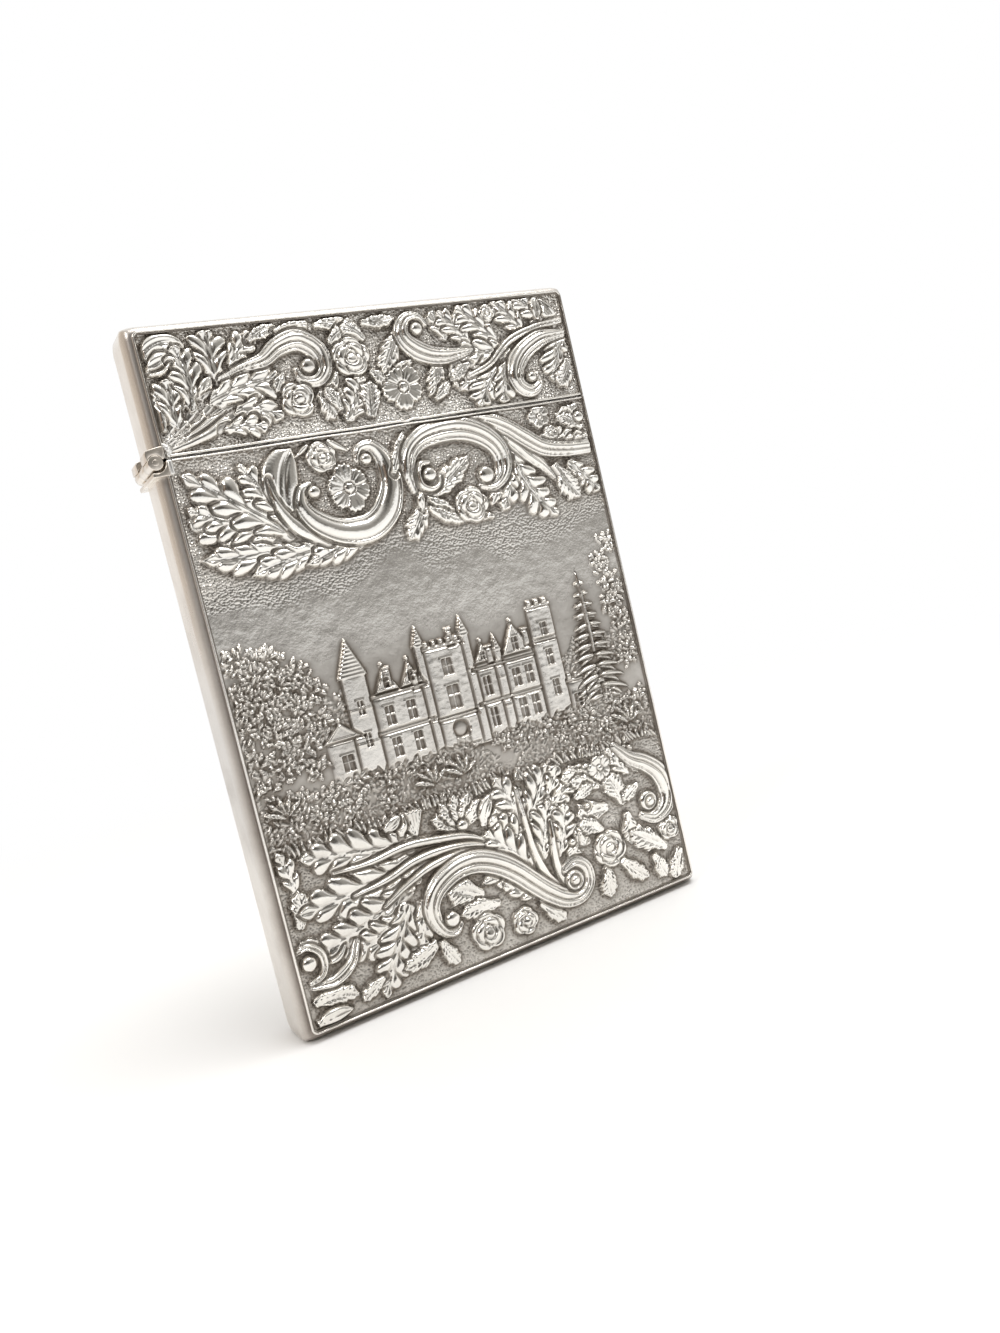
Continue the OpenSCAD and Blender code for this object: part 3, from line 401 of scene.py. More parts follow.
def top_right(p):
    leaf(p, 22.6, 74.6, 2, 10.6, 3.4, -14, PLUME)
    leaf(p, 25.4, 72.6, 14, 8, 3, -20, ACANTHUS)
    daisy(p, 24.4, 78.2, 2, 0, 5)
    daisy(p, 25.8, 75.4, 1.4, 20, 5)
    leaf(p, 31.6, 79, 200, 4.6, 2.4, 10, SERRATE)
    leaf(p, 31.8, 75.6, 150, 4.6, 2.4, 0, SERRATE)
    bead(p, 31.4, 77.2, 1)
    leaf(p, 27.6, 70.6, 318, 7.4, 4.2, -14, ACANTHUS)
    leaf(p, 25, 70.6, 292, 7, 3.8, 20, SERRATE)
    leaf(p, 17.8, 74.4, 278, 13.6, 6, 40, ACANTHUS)
    leaf(p, 17, 71.4, 262, 7, 3.8, -30, ACANTHUS)
    leaf(p, 14.8, 68.6, 215, 3.4, 1.8, 30, PLAIN)
    band(p, [(15.6, 77.8), (18.4, 75.8), (20.8, 73), (23.2, 70.6), (24.8, 68.6)],
         (2, 2.8, 2.4, 0.9), FLUTED, 1.05)
    band(p, [(10, 79.6), (14.6, 79.1), (18, 77.6), (21, 75.4), (24, 73.4), (28, 72.6), (32.6, 72.4)],
         (1, 2.6, 3.2, 2.8, 2.4), FLUTED, 1.1, -1)
    leaf(p, 2.4, 69.2, 24, 10, 3.6, 14, SERRATE)
    leaf(p, 2.4, 69, 330, 5.6, 2, -20, SERRATE)
    leaf(p, 2.2, 67.8, 318, 7, 2, 30, SERRATE)
    leaf(p, 12.6, 64.6, 170, 5.6, 1.8, -20, SERRATE)
    leaf(p, 1.8, 68.8, 242, 6.6, 3.3, -14, TOOTHED)
    leaf(p, 1.6, 70.4, 255, 3.4, 1.4, 20, PLAIN)
    rose(p, 9.4, 66.9, 2.9, 0)
    band(p, [(5.4, 71.9), (4.8, 70.7), (3.4, 70.2), (2, 71), (1.7, 72.8), (2.6, 74.1), (4, 74.2)],
         (0.7, 1.3, 1.5, 1), REED, 1.05)
    band(p, [(0.8, 70.4), (0.5, 73.2), (1.2, 75.8), (3.3, 77.6), (6.5, 78.4), (10.4, 78.3),
             (13.6, 77), (15.7, 75), (16.4, 72.8), (15.8, 70.6), (14, 69.2), (12.2, 69.4)],
         (1.2, 2.8, 3.8, 4, 3.6, 3, 1.6), FLUTED, 1.2, -1)
    bead(p, 3.7, 72.4, 1.15)
    bead(p, 12.9, 70.9, 1.4)


LOW_LEFT_LEAVES = (
    (-30.6, 19.6, 96, 7, 3, 14, PLUME), (-31.4, 15.2, 70, 5.4, 3, 20, SERRATE),
    (-32.2, 13.2, 340, 3.6, 2, 0, PLAIN), (-32.2, 4.6, 16, 7, 3, -50, SERRATE),
    (-32.4, 1.8, 14, 5.6, 2.2, -20, PLAIN), (-12.4, 21, 168, 17.4, 6.8, 2, ACANTHUS),
    (-15, 16.6, 206, 12.4, 5, -50, ACANTHUS), (-13, 18.8, 190, 18.6, 6.6, -10, PLUME),
    (-14.6, 15.6, 206, 17.4, 6.4, -20, ACANTHUS), (-16.6, 12.4, 214, 10.6, 5, -34, ACANTHUS),
    (-13.6, 13, 262, 9, 4.2, -20, ACANTHUS), (-15.4, 13.2, 236, 13.6, 6, 8, ACANTHUS),
    (-12.6, 6.6, 214, 6.6, 3, -30, SERRATE), (-12, 6.4, 282, 4.8, 2.6, 30, SERRATE),
    (-21.6, 4.6, 200, 4.6, 2.2, 20, SERRATE))
LOW_MIDDLE_LEAVES = (
    (-14.2, 22.8, 80, 3.4, 2, -10, PLAIN), (-16.6, 24.4, 20, 3.4, 2, 10, PLAIN),
    (0.2, 19.6, 62, 5.4, 2.2, -50, PLAIN), (-1.2, 20.2, 84, 5.4, 2.2, -50, PLAIN),
    (-10.4, 18.8, 196, 6.6, 3.6, 50, ACANTHUS), (-7.4, 15.6, 200, 5, 2.6, 60, PLUME),
    (-4, 10.2, 140, 6.4, 4.4, 30, SERRATE), (-1.6, 8.4, 168, 6.8, 3, 20, SERRATE),
    (3.6, 10.2, 158, 7, 3.6, -10, ACANTHUS), (5, 7.4, 152, 6.6, 3.4, -10, ACANTHUS),
    (0.2, 12.4, 175, 4, 2, 20, PLAIN), (5, 6.2, 312, 5.6, 3, 0, SERRATE))
LOW_RIGHT_LEAVES = (
    (5.6, 18.4, 108, 9, 5, 10, ACANTHUS), (5.4, 14.6, 126, 8.6, 5, 10, ACANTHUS),
    (5.8, 9.8, 120, 12, 6.4, 14, PLUME), (6.4, 18.4, 64, 9.4, 5.6, -20, PLUME),
    (8.6, 18.8, 32, 9, 4.4, -14, PLUME), (10.4, 21.6, 50, 5, 3, 10, ACANTHUS),
    (14.6, 24.2, 330, 6, 3.4, 20, ACANTHUS), (6.8, 11.8, 72, 9.6, 5.4, -6, PLUME),
    (9.8, 11.6, 62, 8.6, 5, 14, ACANTHUS), (11.4, 11, 32, 6, 3.8, 20, ACANTHUS),
    (14.4, 12, 80, 4.2, 2.6, -30, SERRATE), (20.4, 16.4, 172, 6, 3.8, 10, SERRATE),
    (18.6, 13.2, 140, 4.6, 3, 30, SERRATE), (23.6, 16, 108, 6.4, 4, 10, SERRATE),
    (23.6, 14.6, 268, 5.4, 3.2, 0, SERRATE), (18.4, 22.6, 175, 5.4, 2.8, 0, SERRATE),
    (19.6, 20, 150, 5.6, 2.8, 10, SERRATE), (18, 7.6, 256, 5.2, 3.2, 10, SERRATE),
    (20.8, 7.8, 300, 6.4, 3, 30, SERRATE), (29.6, 7, 150, 8, 3.8, -10, SERRATE),
    (26.8, 6.6, 286, 4.8, 2.8, 10, SERRATE), (32, 6, 236, 5.4, 3, 20, SERRATE),
    (25.6, 20.4, 136, 6, 3.6, -30, PLUME), (27.4, 20, 104, 5.4, 3.2, 20, PLUME),
    (26.8, 18.4, 200, 4, 2.4, 20, SERRATE), (14.8, 19.4, 20, 4, 2.4, 0, SERRATE))


def low_left(p):
    for row in LOW_LEFT_LEAVES:
        leaf(p, *row)
    band(p, [(-31.4, 7), (-28.4, 6.8), (-25.8, 8.2), (-24.2, 10.8)], (1.6, 2, 1.2), TWIN, 1)
    band(p, [(-29.4, 9.4), (-27.4, 9.6), (-26, 10.8)], (0.8, 1.2, 0.8), REED, 0.8)
    band(p, [(-32.9, 12.2), (-31.2, 12.6), (-29.7, 11.4), (-29.4, 9.6), (-30.2, 8.1), (-31.8, 7.5)],
         (0.9, 1.4, 1.5, 1.3, 0.9), TWIN, 1.1)
    bead(p, -31.5, 10.3, 1.2)


def low_middle(p):
    fan(p, -11.8, 21.4, 96, 4.8, 5)
    for turn in (150, 122, 94, 66, 38):
        leaf(p, -4.6, 21, turn, 5.4, 2.6, 0, SERRATE)
    bead(p, -4.6, 21.4, 1)
    for row in LOW_MIDDLE_LEAVES:
        leaf(p, *row)
    band(p, [(-25, 21), (-19.6, 20.8), (-14, 21.3), (-9, 20.7), (-4.6, 19.8), (-1.4, 18), (0.8, 16)],
         (0.8, 1.3, 1.5, 1.4, 0.9), REED, 1)
    band(p, [(-23, 17), (-18, 17.6), (-13.4, 18.8), (-9, 19), (-4.6, 18.4), (-1.4, 17), (1.4, 14.8)],
         (0.8, 1.3, 1.5, 1.4, 0.9), REED, 1.06)
    band(p, [(-19, 14), (-15.4, 15.8), (-11.4, 17.2), (-7.6, 17.6), (-4, 17.1), (-0.6, 15.8), (2.4, 13)],
         (0.8, 1.3, 1.5, 1.4, 0.9), REED, 1.1)
    rose(p, -4.4, 5, 3, 20)
    rose(p, 1.8, 4.3, 2.3, 70)


def low_right(p):
    for row in LOW_RIGHT_LEAVES:
        leaf(p, *row)
    bead(p, 12.6, 13.2, 0.7)
    band(p, [(5.4, 24), (5.5, 19), (5.9, 14), (7, 10), (8.8, 7.2)], (0.8, 1.1, 1.3, 1.7, 1.4), REED, 1.05)
    band(p, [(9.8, 17.6), (9.2, 13), (9.3, 10), (10.2, 7.8)], (0.9, 1.4, 1.7), REED, 1.05)
    band(p, [(-8.4, 7.6), (-9.4, 6.7), (-11, 7.3), (-12.2, 9.4), (-12.1, 12), (-10.4, 14.2),
             (-7.2, 15.6), (-3.8, 15.6), (-0.6, 14.2), (2.2, 12), (4.6, 9.4), (7, 7), (9.6, 5.2),
             (12.2, 5), (13.9, 6.6), (13.9, 8.8), (12.4, 10), (10.6, 9.4)],
         (1.1, 2.6, 3.6, 3.9, 3.8, 3.6, 3.4, 3, 1.8), FLUTED, 1.2, -1)
    bead(p, -9.6, 8.8, 1.25)
    bead(p, 11.6, 7.4, 1.7)
    bead(p, 11.6, 7.4, 0.9, 1.25)
    daisy(p, 20.6, 22.8, 2.2, 0, 5)
    rose(p, 19.1, 10, 3.1, 200)
    rose(p, 30.8, 9.8, 2.2, 20)
    bead(p, 16.6, 17.8, 0.6)
    band(p, [(24.2, 25.2), (26.4, 22.8), (29, 21.2), (31.2, 19), (32, 16), (31, 13.4), (28.8, 12.2),
             (26.6, 13)], (1.6, 3, 3.6, 3.4, 1.6), FLUTED, 1.15)
    bead(p, 28, 15.2, 1.7)
    bead(p, 28.2, 15, 0.9, 1.25)


LID_LEFT_LEAVES = (
    (-32.8, 93.6, 50, 6.6, 3.4, -84, PLAIN), (-32.8, 91.8, 20, 4.4, 3, 6, PLAIN),
    (-32.3, 83.8, 98, 6.2, 2.3, -24, PLAIN), (-30.5, 83.9, 96, 7, 4.6, -22, PLUMP),
    (-28.2, 85.8, 74, 9.4, 5.2, 38, PLUMP), (-23.8, 89.4, 96, 7.2, 5.6, -14, PLUMP),
    (-26.6, 87.4, 52, 3.6, 2, 10, PLAIN), (-21.6, 91.2, 56, 6.2, 4, -24, ACANTHUS),
    (-25.6, 86.6, 24, 11.2, 6.4, -22, PLUMP), (-22.6, 84.9, 16, 7.2, 4, -58, PLUMP),
    (-24.6, 83, 6, 6.4, 3.4, -20, PLUMP))
LID_STRANDS = (
    ((-32.4, 82.8), (-31, 84), (-29.9, 86), (-29.7, 88)),
    ((-32.2, 82.4), (-29.3, 84.3), (-27.3, 86.8), (-26.3, 89.6), (-26.5, 92)),
    ((-32, 82), (-28.2, 84), (-25, 86.5), (-23.2, 89.2), (-23, 92.4)),
    ((-31.8, 81.7), (-27.6, 83.3), (-23.6, 85.8), (-20, 87.7)),
    ((-31.6, 81.4), (-27, 82.6), (-23.4, 84.3), (-20, 85.2), (-17.6, 84)))
LID_MIDDLE_LEAVES = (
    (-18.4, 94.4, 30, 5, 2.2, -20, SERRATE), (-14.4, 95.2, 14, 6.4, 2, -20, SERRATE),
    (-8.6, 95.6, 2, 7, 2.2, -10, SERRATE), (-14.6, 89.6, 240, 3, 2, 0, SERRATE),
    (-9.8, 87.4, 330, 4.6, 3, -40, SERRATE), (-10, 86.4, 290, 4.6, 3, 10, SERRATE),
    (-6.8, 92.8, 50, 4, 2.6, -50, SERRATE), (-1.4, 92.8, 130, 4.2, 2.6, 30, SERRATE),
    (-6.8, 88.8, 235, 3.4, 2, 0, PLAIN), (-1.8, 88.4, 320, 3.6, 2.2, 0, SERRATE),
    (-7, 81.8, 46, 7.4, 5, 26, ACANTHUS), (-3, 81.8, 84, 5.4, 3.4, -10, SERRATE),
    (-7.4, 83.4, 110, 4, 2.2, 10, SERRATE), (-1.4, 95.4, 350, 5.6, 2.2, 24, SERRATE),
    (4, 93.4, 232, 7, 3.2, 10, TOOTHED), (5, 89, 200, 3.6, 2, 20, PLAIN),
    (9.4, 88.8, 250, 6.4, 3.4, 10, TOOTHED), (12.2, 89.2, 272, 5.4, 3, -10, TOOTHED),
    (7.4, 83, 30, 4, 2, 20, SERRATE))
LID_RIGHT_LEAVES = (
    (11.4, 91.4, 100, 5, 3.2, 20, ACANTHUS), (15.4, 90, 118, 7.4, 4.4, 20, PLUMP),
    (20, 90, 126, 8.6, 5, 14, PLUMP), (25.4, 90.8, 124, 7.8, 4.6, 12, PLUMP),
    (30.6, 92, 142, 8, 4.4, -6, PLUMP), (31.6, 91.8, 124, 5.6, 2.4, 0, PLAIN),
    (28, 93, 86, 3.8, 2, 0, PLAIN), (22.4, 88.6, 172, 9.6, 4.8, 14, PLUMP),
    (18.4, 86.4, 190, 7, 3.6, 24, ACANTHUS), (19, 86.6, 222, 7.4, 4.6, 20, PLUMP),
    (20.6, 87.2, 250, 6.6, 4, 10, PLUMP), (32, 91, 240, 8.6, 5, 14, PLUMP),
    (32, 86.4, 246, 5, 3, -20, SERRATE), (14.4, 87.6, 200, 4, 2.2, 30, SERRATE))


def lid_left(p):
    for row in LID_STRANDS:
        band(p, row, (0.9, 1.6, 2, 1.6), REED, 0.85, 1, (0.3, 0.9))
    for row in LID_LEFT_LEAVES:
        leaf(p, *row)
    band(p, [(-32.6, 91.3), (-30.8, 91.4), (-29.4, 92.6)], (0.7, 1, 0.6), REED)
    for row in LID_MIDDLE_LEAVES:
        leaf(p, *row)
    band(p, [(-23.4, 89.9), (-20, 91), (-17, 91.6), (-14.4, 93.2), (-11.4, 93.8), (-9, 92.2),
             (-8.5, 89.8), (-9.8, 88.2), (-11.8, 88.4), (-12.4, 89.8)],
         (0.8, 1.6, 2.6, 3.4, 3.4, 2.6, 1.2), FLUTED, 1.15, -1)
    bead(p, -10.7, 90.1, 1.15)
    rose(p, -13.3, 85.7, 2.7, 120, petals=4)
    rose(p, -4, 90.7, 3, 10)
    daisy(p, 2.9, 85.5, 3.3, 10, 5)


def lid_right(p):
    for row in LID_RIGHT_LEAVES:
        leaf(p, *row)
    rose(p, 19.4, 94.8, 1.5, 0, petals=4)
    band(p, [(32.4, 92.6), (27, 91.8), (22, 90.2), (18, 87.2), (14, 85.8)], (1.2, 1.5, 1), TWIN, 1)
    band(p, [(15.4, 89.6), (11, 89.2), (7.8, 89.8), (5.2, 91.6), (4.6, 93.6), (5.8, 95.2),
             (7.8, 95.4), (8.8, 94.2)], (1.2, 2.8, 3.4, 2.4, 1), FLUTED, 1.15)
    bead(p, 7.1, 93.6, 1.05)
    band(p, [(32.4, 90.6), (27.6, 90), (23.8, 88), (22, 85.4), (22.4, 83.2), (24.2, 82.3),
             (26, 83.2), (26, 84.8)], (1.4, 3, 3.4, 2.6, 1), FLUTED, 1.15)
    bead(p, 24.7, 84.4, 0.9)


def lid_panel(p):
    lid_left(p)
    lid_right(p)


def top_panel(p):
    top_left(p)
    top_right(p)


def low_panel(p):
    low_left(p)
    low_middle(p)
    low_right(p)


# Landscape with a towered country house: heights of its planes over the ground
BASE = 32
FAR = 0.34
WING = 0.5
FRONT = 0.72
# Walls as left, foot, right, head, height of the plane
WALLS = (
    (-21.5, 32, -16.5, 38.4, 0.4), (-13.6, 32, -4.8, 43.4, WING), (-4.8, 32, 2.8, 47.4, FRONT),
    (2.8, 32, 14.2, 43.8, WING), (8.2, 32, 13.8, 43.8, 0.6), (14.2, 32, 18.4, 50, 0.68),
    (18.4, 32, 25.4, 37.4, 0.4))
# Gables as left, foot, width, height, height of the plane
GABLES = ((-21.9, 38.4, 5.8, 2.6, 0.44), (-12.8, 43.4, 3.9, 3.6, 0.56), (-8.7, 43.4, 3.7, 3.6, 0.56),
          (8.3, 43.8, 5.4, 4.8, 0.66), (3.5, 43.8, 3.6, 3, 0.56))
# Round towers as x, radius, height of the wall, height of the cap
TOWERS = ((-15.4, 1.9, 14.6, 5.6), (-4.6, 0.85, 16.6, 3), (2.8, 0.85, 16.6, 3), (7.6, 0.75, 13, 2.6))
# Windows as left, foot, width, height
WINDOWS = (
    (-12, 34, 1.4, 2.7), (-12, 38.7, 1.4, 2.6), (-8.6, 34, 1.4, 2.7), (-8.6, 38.7, 1.4, 2.6),
    (-2, 38.4, 2, 3.4), (-1.8, 43.4, 1.6, 2.4), (4.3, 34, 1.3, 2.8), (4.3, 38.8, 1.3, 2.8),
    (9.3, 34, 1.3, 3), (9.3, 38.9, 1.3, 2.8), (11.6, 34, 1.3, 3), (11.6, 38.9, 1.3, 2.8),
    (10.4, 44.4, 1, 1.9), (15.7, 36, 1.2, 2.3), (15.7, 40.8, 1.2, 2.3), (15.7, 45.4, 1.2, 2),
    (-19.8, 34, 1.6, 2.3), (-15.9, 36.6, 0.9, 1.9), (-15.9, 41.2, 0.9, 1.9), (-11.3, 44, 0.9, 1.4),
    (-7.3, 44, 0.9, 1.4), (4.8, 44.2, 0.8, 1.2))
CHIMNEYS = ((-6.3, 43.6), (-10.3, 45.2), (6.4, 44.4), (13.1, 45.6), (0.6, 48.4))
# Trees and shrubs as x, y, radius
FAR_TREES = ((-18.4, 43, 2.4), (-21, 41.4, 2.2), (20.6, 40, 2), (22.4, 41.6, 2.2), (19.4, 38.6, 1.6),
             (27.6, 40.6, 2.4), (30.6, 42.4, 2.2))
TREES = (
    (-30.6, 52.6, 2.2), (-26.8, 51.4, 2.6), (-23, 49, 2), (-29, 49.4, 2.6), (-31.6, 47.4, 2.4),
    (-25.4, 47.4, 2.8), (-21.6, 45.8, 1.9), (-28.6, 45.2, 2.6), (-31.4, 42.8, 2.4),
    (-24.6, 43.6, 2.5), (-21.2, 42, 1.7), (-27.6, 41, 2.6), (-31.2, 38.4, 2.4), (-24, 39.4, 2.2),
    (-27.4, 37, 2.3), (-23.4, 35.8, 1.7), (29.4, 54.8, 1.6), (31.4, 57, 1.7), (30.2, 51.8, 2),
    (31.8, 49, 1.8), (29.8, 47.6, 1.8), (31.4, 44.6, 2), (31, 39.6, 2), (-31.4, 34.4, 2.2))
SHRUBS = (
    (-31, 30.4, 2.2), (-26.6, 31.6, 2.2), (-22, 31, 1.9), (-17.6, 31.6, 1.6), (-13.4, 31.2, 1.5),
    (-9, 31.6, 1.4), (-5.4, 31, 1.3), (5.4, 31.2, 1.5), (9, 31.8, 1.6), (13, 31.2, 1.6),
    (17, 31.8, 1.7), (21, 31.2, 1.9), (26, 31.6, 2.1), (30.4, 31.4, 2.4), (-28.6, 28.6, 1.6),
    (-19.6, 29, 1.6), (-14.6, 28.6, 1.3), (15, 28.8, 1.4), (19.4, 28.8, 1.5), (24, 28.8, 1.6),
    (28.6, 28.6, 1.8), (-24.4, 28.4, 1.5), (-32, 27, 1.4))


def block(p, left, foot, right, head, high, courses=0.03):
    """Wall with faint courses of stone."""
    at = p.near([(left, foot), (right, head)], 0.5)
    x = p.px[at]
    y = p.py[at]
    outside = np.maximum(np.maximum(left - x, x - right), np.maximum(foot - y, y - head))
    stones = cells(x * 0.5, y, 0.7, 7)
    turned = np.clip(1 - (x - left) / (0.16 * (right - left)), 0, 1) * (right - left > 2.5)
    p.lay(at, high + courses * stones - 0.34 * turned, outside, 0)


def gable(p, left, foot, width, height, high):
    """Gable wall with a raised coping and a small ball on its point."""
    middle = left + width / 2
    at = p.near([(left, foot), (left + width, foot + height)], 0.5)
    slope = 2 * height / width
    run = height - slope * np.abs(p.px[at] - middle)
    outside = np.maximum(foot - p.py[at], (p.py[at] - foot - run) / math.hypot(slope, 1))
    coping = 0.16 * (outside > -0.42)
    p.lay(at, high + coping, outside, 0)
    bead(p, middle, foot + height + 0.25, 0.38, high + 0.1)


def round_tower(p, x, r, height, cap):
    """Half-round tower with string courses and a tiled cone for its roof."""
    top = BASE + height
    at = p.near([(x - r, BASE), (x + r, top + cap)], 1)
    dx = np.abs(p.px[at] - x)
    y = p.py[at]
    share = np.clip((y - top) / cap, 0, 1)
    reach = np.where(y < top, r, 1.22 * r * (1 - share) + 0.05)
    u = dx / reach
    outside = np.maximum((u - 1) * reach, np.maximum(BASE - y, y - top - cap))
    tiles = 0.05 * np.sin(2 * math.pi * y / 0.55) * (y > top)
    ring = 0.12 * (np.abs((y - BASE) % (height / 3) - 0.2) < 0.2) * (y < top)
    p.lay(at, 0.34 + 0.5 * rounded(u) + tiles + ring, outside, 0)


def window(p, left, foot, width, height):
    """Sunk window with a raised frame and a mullion."""
    at = p.near([(left, foot), (left + width, foot + height)], 0.4)
    x = p.px[at]
    y = p.py[at]
    outside = np.maximum(np.abs(x - left - width / 2) - width / 2,
                         np.abs(y - foot - height / 2) - height / 2)
    wall = p.high[at]
    mullion = (np.abs(x - left - width / 2) < 0.1) | (np.abs(y - foot - height * 0.55) < 0.1)
    frame = wall + 0.1 * (outside < 0.3)
    glass = wall - np.where(mullion, 0.1, 0.34)
    p.high[at] = np.where(outside < 0, glass, frame)


def battlement(p, left, right, head, high, pitch=1.15):
    """Row of merlons along a wall's head, over a string course."""
    block(p, left - 0.15, head - 0.35, right + 0.15, head + 0.05, high + 0.12, 0)
    count = int((right - left) / pitch)
    gap = (right - left) / count
    for i in range(count):
        x = left + gap * (i + 0.2)
        block(p, x, head, x + gap * 0.6, head + 0.85, high, 0)


def foliage(p, x, y, r, high=0.75, seed=0, size=1.15):
    """Clump of leaves: small dabs that point outwards over a low dome."""
    draw = np.random.default_rng(100 + seed)
    count = int(9 * (r / size) ** 2)
    for k in range(count):
        share = math.sqrt(1 - k / count) * draw.uniform(0.8, 1.12)
        turn = draw.uniform(0, 360)
        away = math.radians(turn)
        rise = high * (0.5 + 0.5 * math.sqrt(max(0.0, 1 - 0.8 * share**2)))
        dab(p, x + r * share * math.cos(away), y + r * share * math.sin(away),
            turn + draw.uniform(-50, 50), size * draw.uniform(0.8, 1.25),
            size * draw.uniform(0.42, 0.62), rise * draw.uniform(0.82, 1.12))


def fir(p, x, foot, height, width, boughs=12):
    """Fir with drooping boughs in pairs, each over the one below."""
    draw = np.random.default_rng(8)
    for i in range(boughs):
        t = i / (boughs - 1)
        y = foot + height * (0.06 + 0.86 * t)
        reach = width / 2 * (1 - 0.9 * t) + 0.4
        for side in (-1, 1):
            lift = draw.uniform(-6, 6)
            for part, drop in ((0.8, 16), (1, 0)):
                blade(p, x, y, 90 - side * (88 + drop + lift), reach * part, 0.95 - 0.3 * t,
                      -side * (34 - 20 * t), 0.82)
    blade(p, x, foot + height * 0.4, 90, height * 0.64, 0.5, 0, 0.8)


def lawn(p):
    """Rough ground below the house, in tufts of grass with a path through them."""
    draw = np.random.default_rng(12)
    for y in np.arange(32.6, 25.6, -0.62):
        for x in np.arange(-32.4, 32.6, 0.85):
            spot = x + draw.uniform(-0.4, 0.4)
            if abs(spot - 2 - 0.9 * (31 - y) - 2 * math.sin((y - 27) / 2.2)) < 1.3:
                continue
            dab(p, spot, y + draw.uniform(-0.3, 0.3), draw.uniform(10, 170), draw.uniform(0.7, 1.2),
                draw.uniform(0.35, 0.5), draw.uniform(0.22, 0.5))


def hedge(p):
    draw = np.random.default_rng(4)
    for x in np.arange(-32.2, 32.4, 0.62):
        lean = draw.uniform(60, 120)
        blade(p, x, 25 + 0.35 * math.sin(x * 0.5), lean, draw.uniform(1.5, 2.3), 0.62,
              draw.uniform(-40, 40), 0.75)


def house(p):
    for row in WALLS:
        block(p, *row)
    for row in TOWERS:
        round_tower(p, *row)
    block(p, -4.1, BASE, 2.1, 48, FRONT)
    for row in GABLES:
        gable(p, *row)
    for x, y in CHIMNEYS:
        block(p, x - 0.5, y - 1, x + 0.5, y + 1.8, 0.6)
        block(p, x - 0.66, y + 1.4, x + 0.66, y + 1.75, 0.72, 0)
    battlement(p, -4.1, 2.1, 48, FRONT)
    battlement(p, 14.2, 18.4, 50.2, 0.68)
    battlement(p, 18.4, 25.4, 37.6, 0.42, 1.3)
    for y in (37.6, 42.9):
        block(p, -13.6, y, -4.8, y + 0.28, WING + 0.1, 0)
        block(p, 2.8, y, 14, y + 0.28, WING + 0.14, 0)
    block(p, -4.2, 37, 2.2, 37.3, FRONT + 0.1, 0)
    block(p, 14.2, 44.6, 18.4, 44.9, 0.8, 0)
    for row in WINDOWS:
        window(p, *row)
    window(p, -2.2, BASE, 2.4, 3.2)
    bead(p, -1, BASE + 3.3, 1.2, FRONT - 0.36)
    for i in range(3):
        window(p, 19.2 + 2.2 * i, BASE, 1.4, 3.2)
    block(p, -3.6, BASE, 1.6, BASE + 0.6, FRONT + 0.2, 0)


def landscape(p):
    for i, (x, y, r) in enumerate(FAR_TREES):
        foliage(p, x, y, r, 0.42, i)
    house(p)
    for i, (x, y, r) in enumerate(TREES):
        foliage(p, x, y, r, 0.85, i)
    fir(p, 24.6, 32.4, 21, 10.5)
    lawn(p)
    for i, (x, y, r) in enumerate(SHRUBS):
        foliage(p, x, y, r, 0.8, i)
    for x, y, tilt in ((-2.6, 29.8, 90), (-7.4, 29.6, 100), (27.6, 29.6, 84), (-29.6, 31.6, 96)):
        for k in (-50, -25, 0, 25, 50):
            leaf(p, x, y - 1.2, tilt + k, 3.2, 1, k * 0.5, TOOTHED, 0.9)
    hedge(p)
    foliage(p, 31, 39.6, 2.6, 0.8, 41)


# Half of the back's all-over scrollwork; the other half is its mirror image
BACK_LEAVES = (
    (15.6, 36, 20, 14, 5, 30, PLUME), (14, 31, 330, 15, 5, -20, ACANTHUS),
    (5, 28, 300, 12, 4.4, -30, ACANTHUS), (10, 45.6, 70, 12, 4.6, 20, ACANTHUS),
    (22, 26, 60, 9, 4, -30, PLUME), (24, 10, 320, 9, 4, 30, ACANTHUS),
    (24, 70, 30, 9, 4, 20, ACANTHUS), (8, 73, 130, 8, 3.6, -40, ACANTHUS),
    (1.4, 49, 80, 8, 3, 0, SERRATE), (1.4, 33, 285, 6, 2.6, 0, SERRATE),
    (30.6, 45, 100, 7, 2.6, 10, SERRATE), (30.6, 34, 260, 7, 2.6, -10, SERRATE),
    (27, 24, 80, 8, 3.4, 20, ACANTHUS), (8, 7.6, 210, 7, 3.2, 20, ACANTHUS),
    (12, 12, 60, 6, 3, -20, SERRATE), (10, 52, 100, 7, 3.2, 30, ACANTHUS),
    (27, 55, 60, 6, 3, 10, PLUME), (17, 7, 300, 5, 2.6, 20, SERRATE),
    (12, 66, 250, 7, 3.2, -20, ACANTHUS), (2, 56, 60, 6, 2.6, 20, SERRATE),
    (6, 20, 40, 6, 2.8, 10, SERRATE), (28.6, 69, 300, 6, 2.8, 10, SERRATE))
LID_BACK_LEAVES = (
    (13.6, 91, 60, 6, 3, -40, ACANTHUS), (17.4, 86, 250, 5, 3, 20, ACANTHUS),
    (26.6, 88, 340, 6, 3, 30, PLUME), (4, 91, 240, 7, 3.2, 20, ACANTHUS),
    (12.6, 88.6, 215, 6, 2.8, 20, SERRATE), (27, 91, 60, 5, 2.4, 0, SERRATE),
    (19, 84.6, 20, 5, 2.4, -20, SERRATE))


def mirror_over(p):
    """Repeats the right half on the left, the other way round."""
    p.high[:, p.px[0] < 0] = 0
    p.high = np.maximum(p.high, p.high[:, ::-1])


def scroll(p, path, widths, long, wide):
    """A fluted scroll from its eye out to its root, with leaves down both sides."""
    for k in range(4, len(path) - 1):
        (x, y), (u, v) = path[k], path[k + 1]
        way = math.degrees(math.atan2(y - v, x - u))
        for turn in (-44, 44):
            leaf(p, x, y, way + turn, long * (0.8 + 0.06 * (k * 5 % 7)), wide, -0.7 * turn, ACANTHUS, 0.8)
    band(p, path, widths, FLUTED)


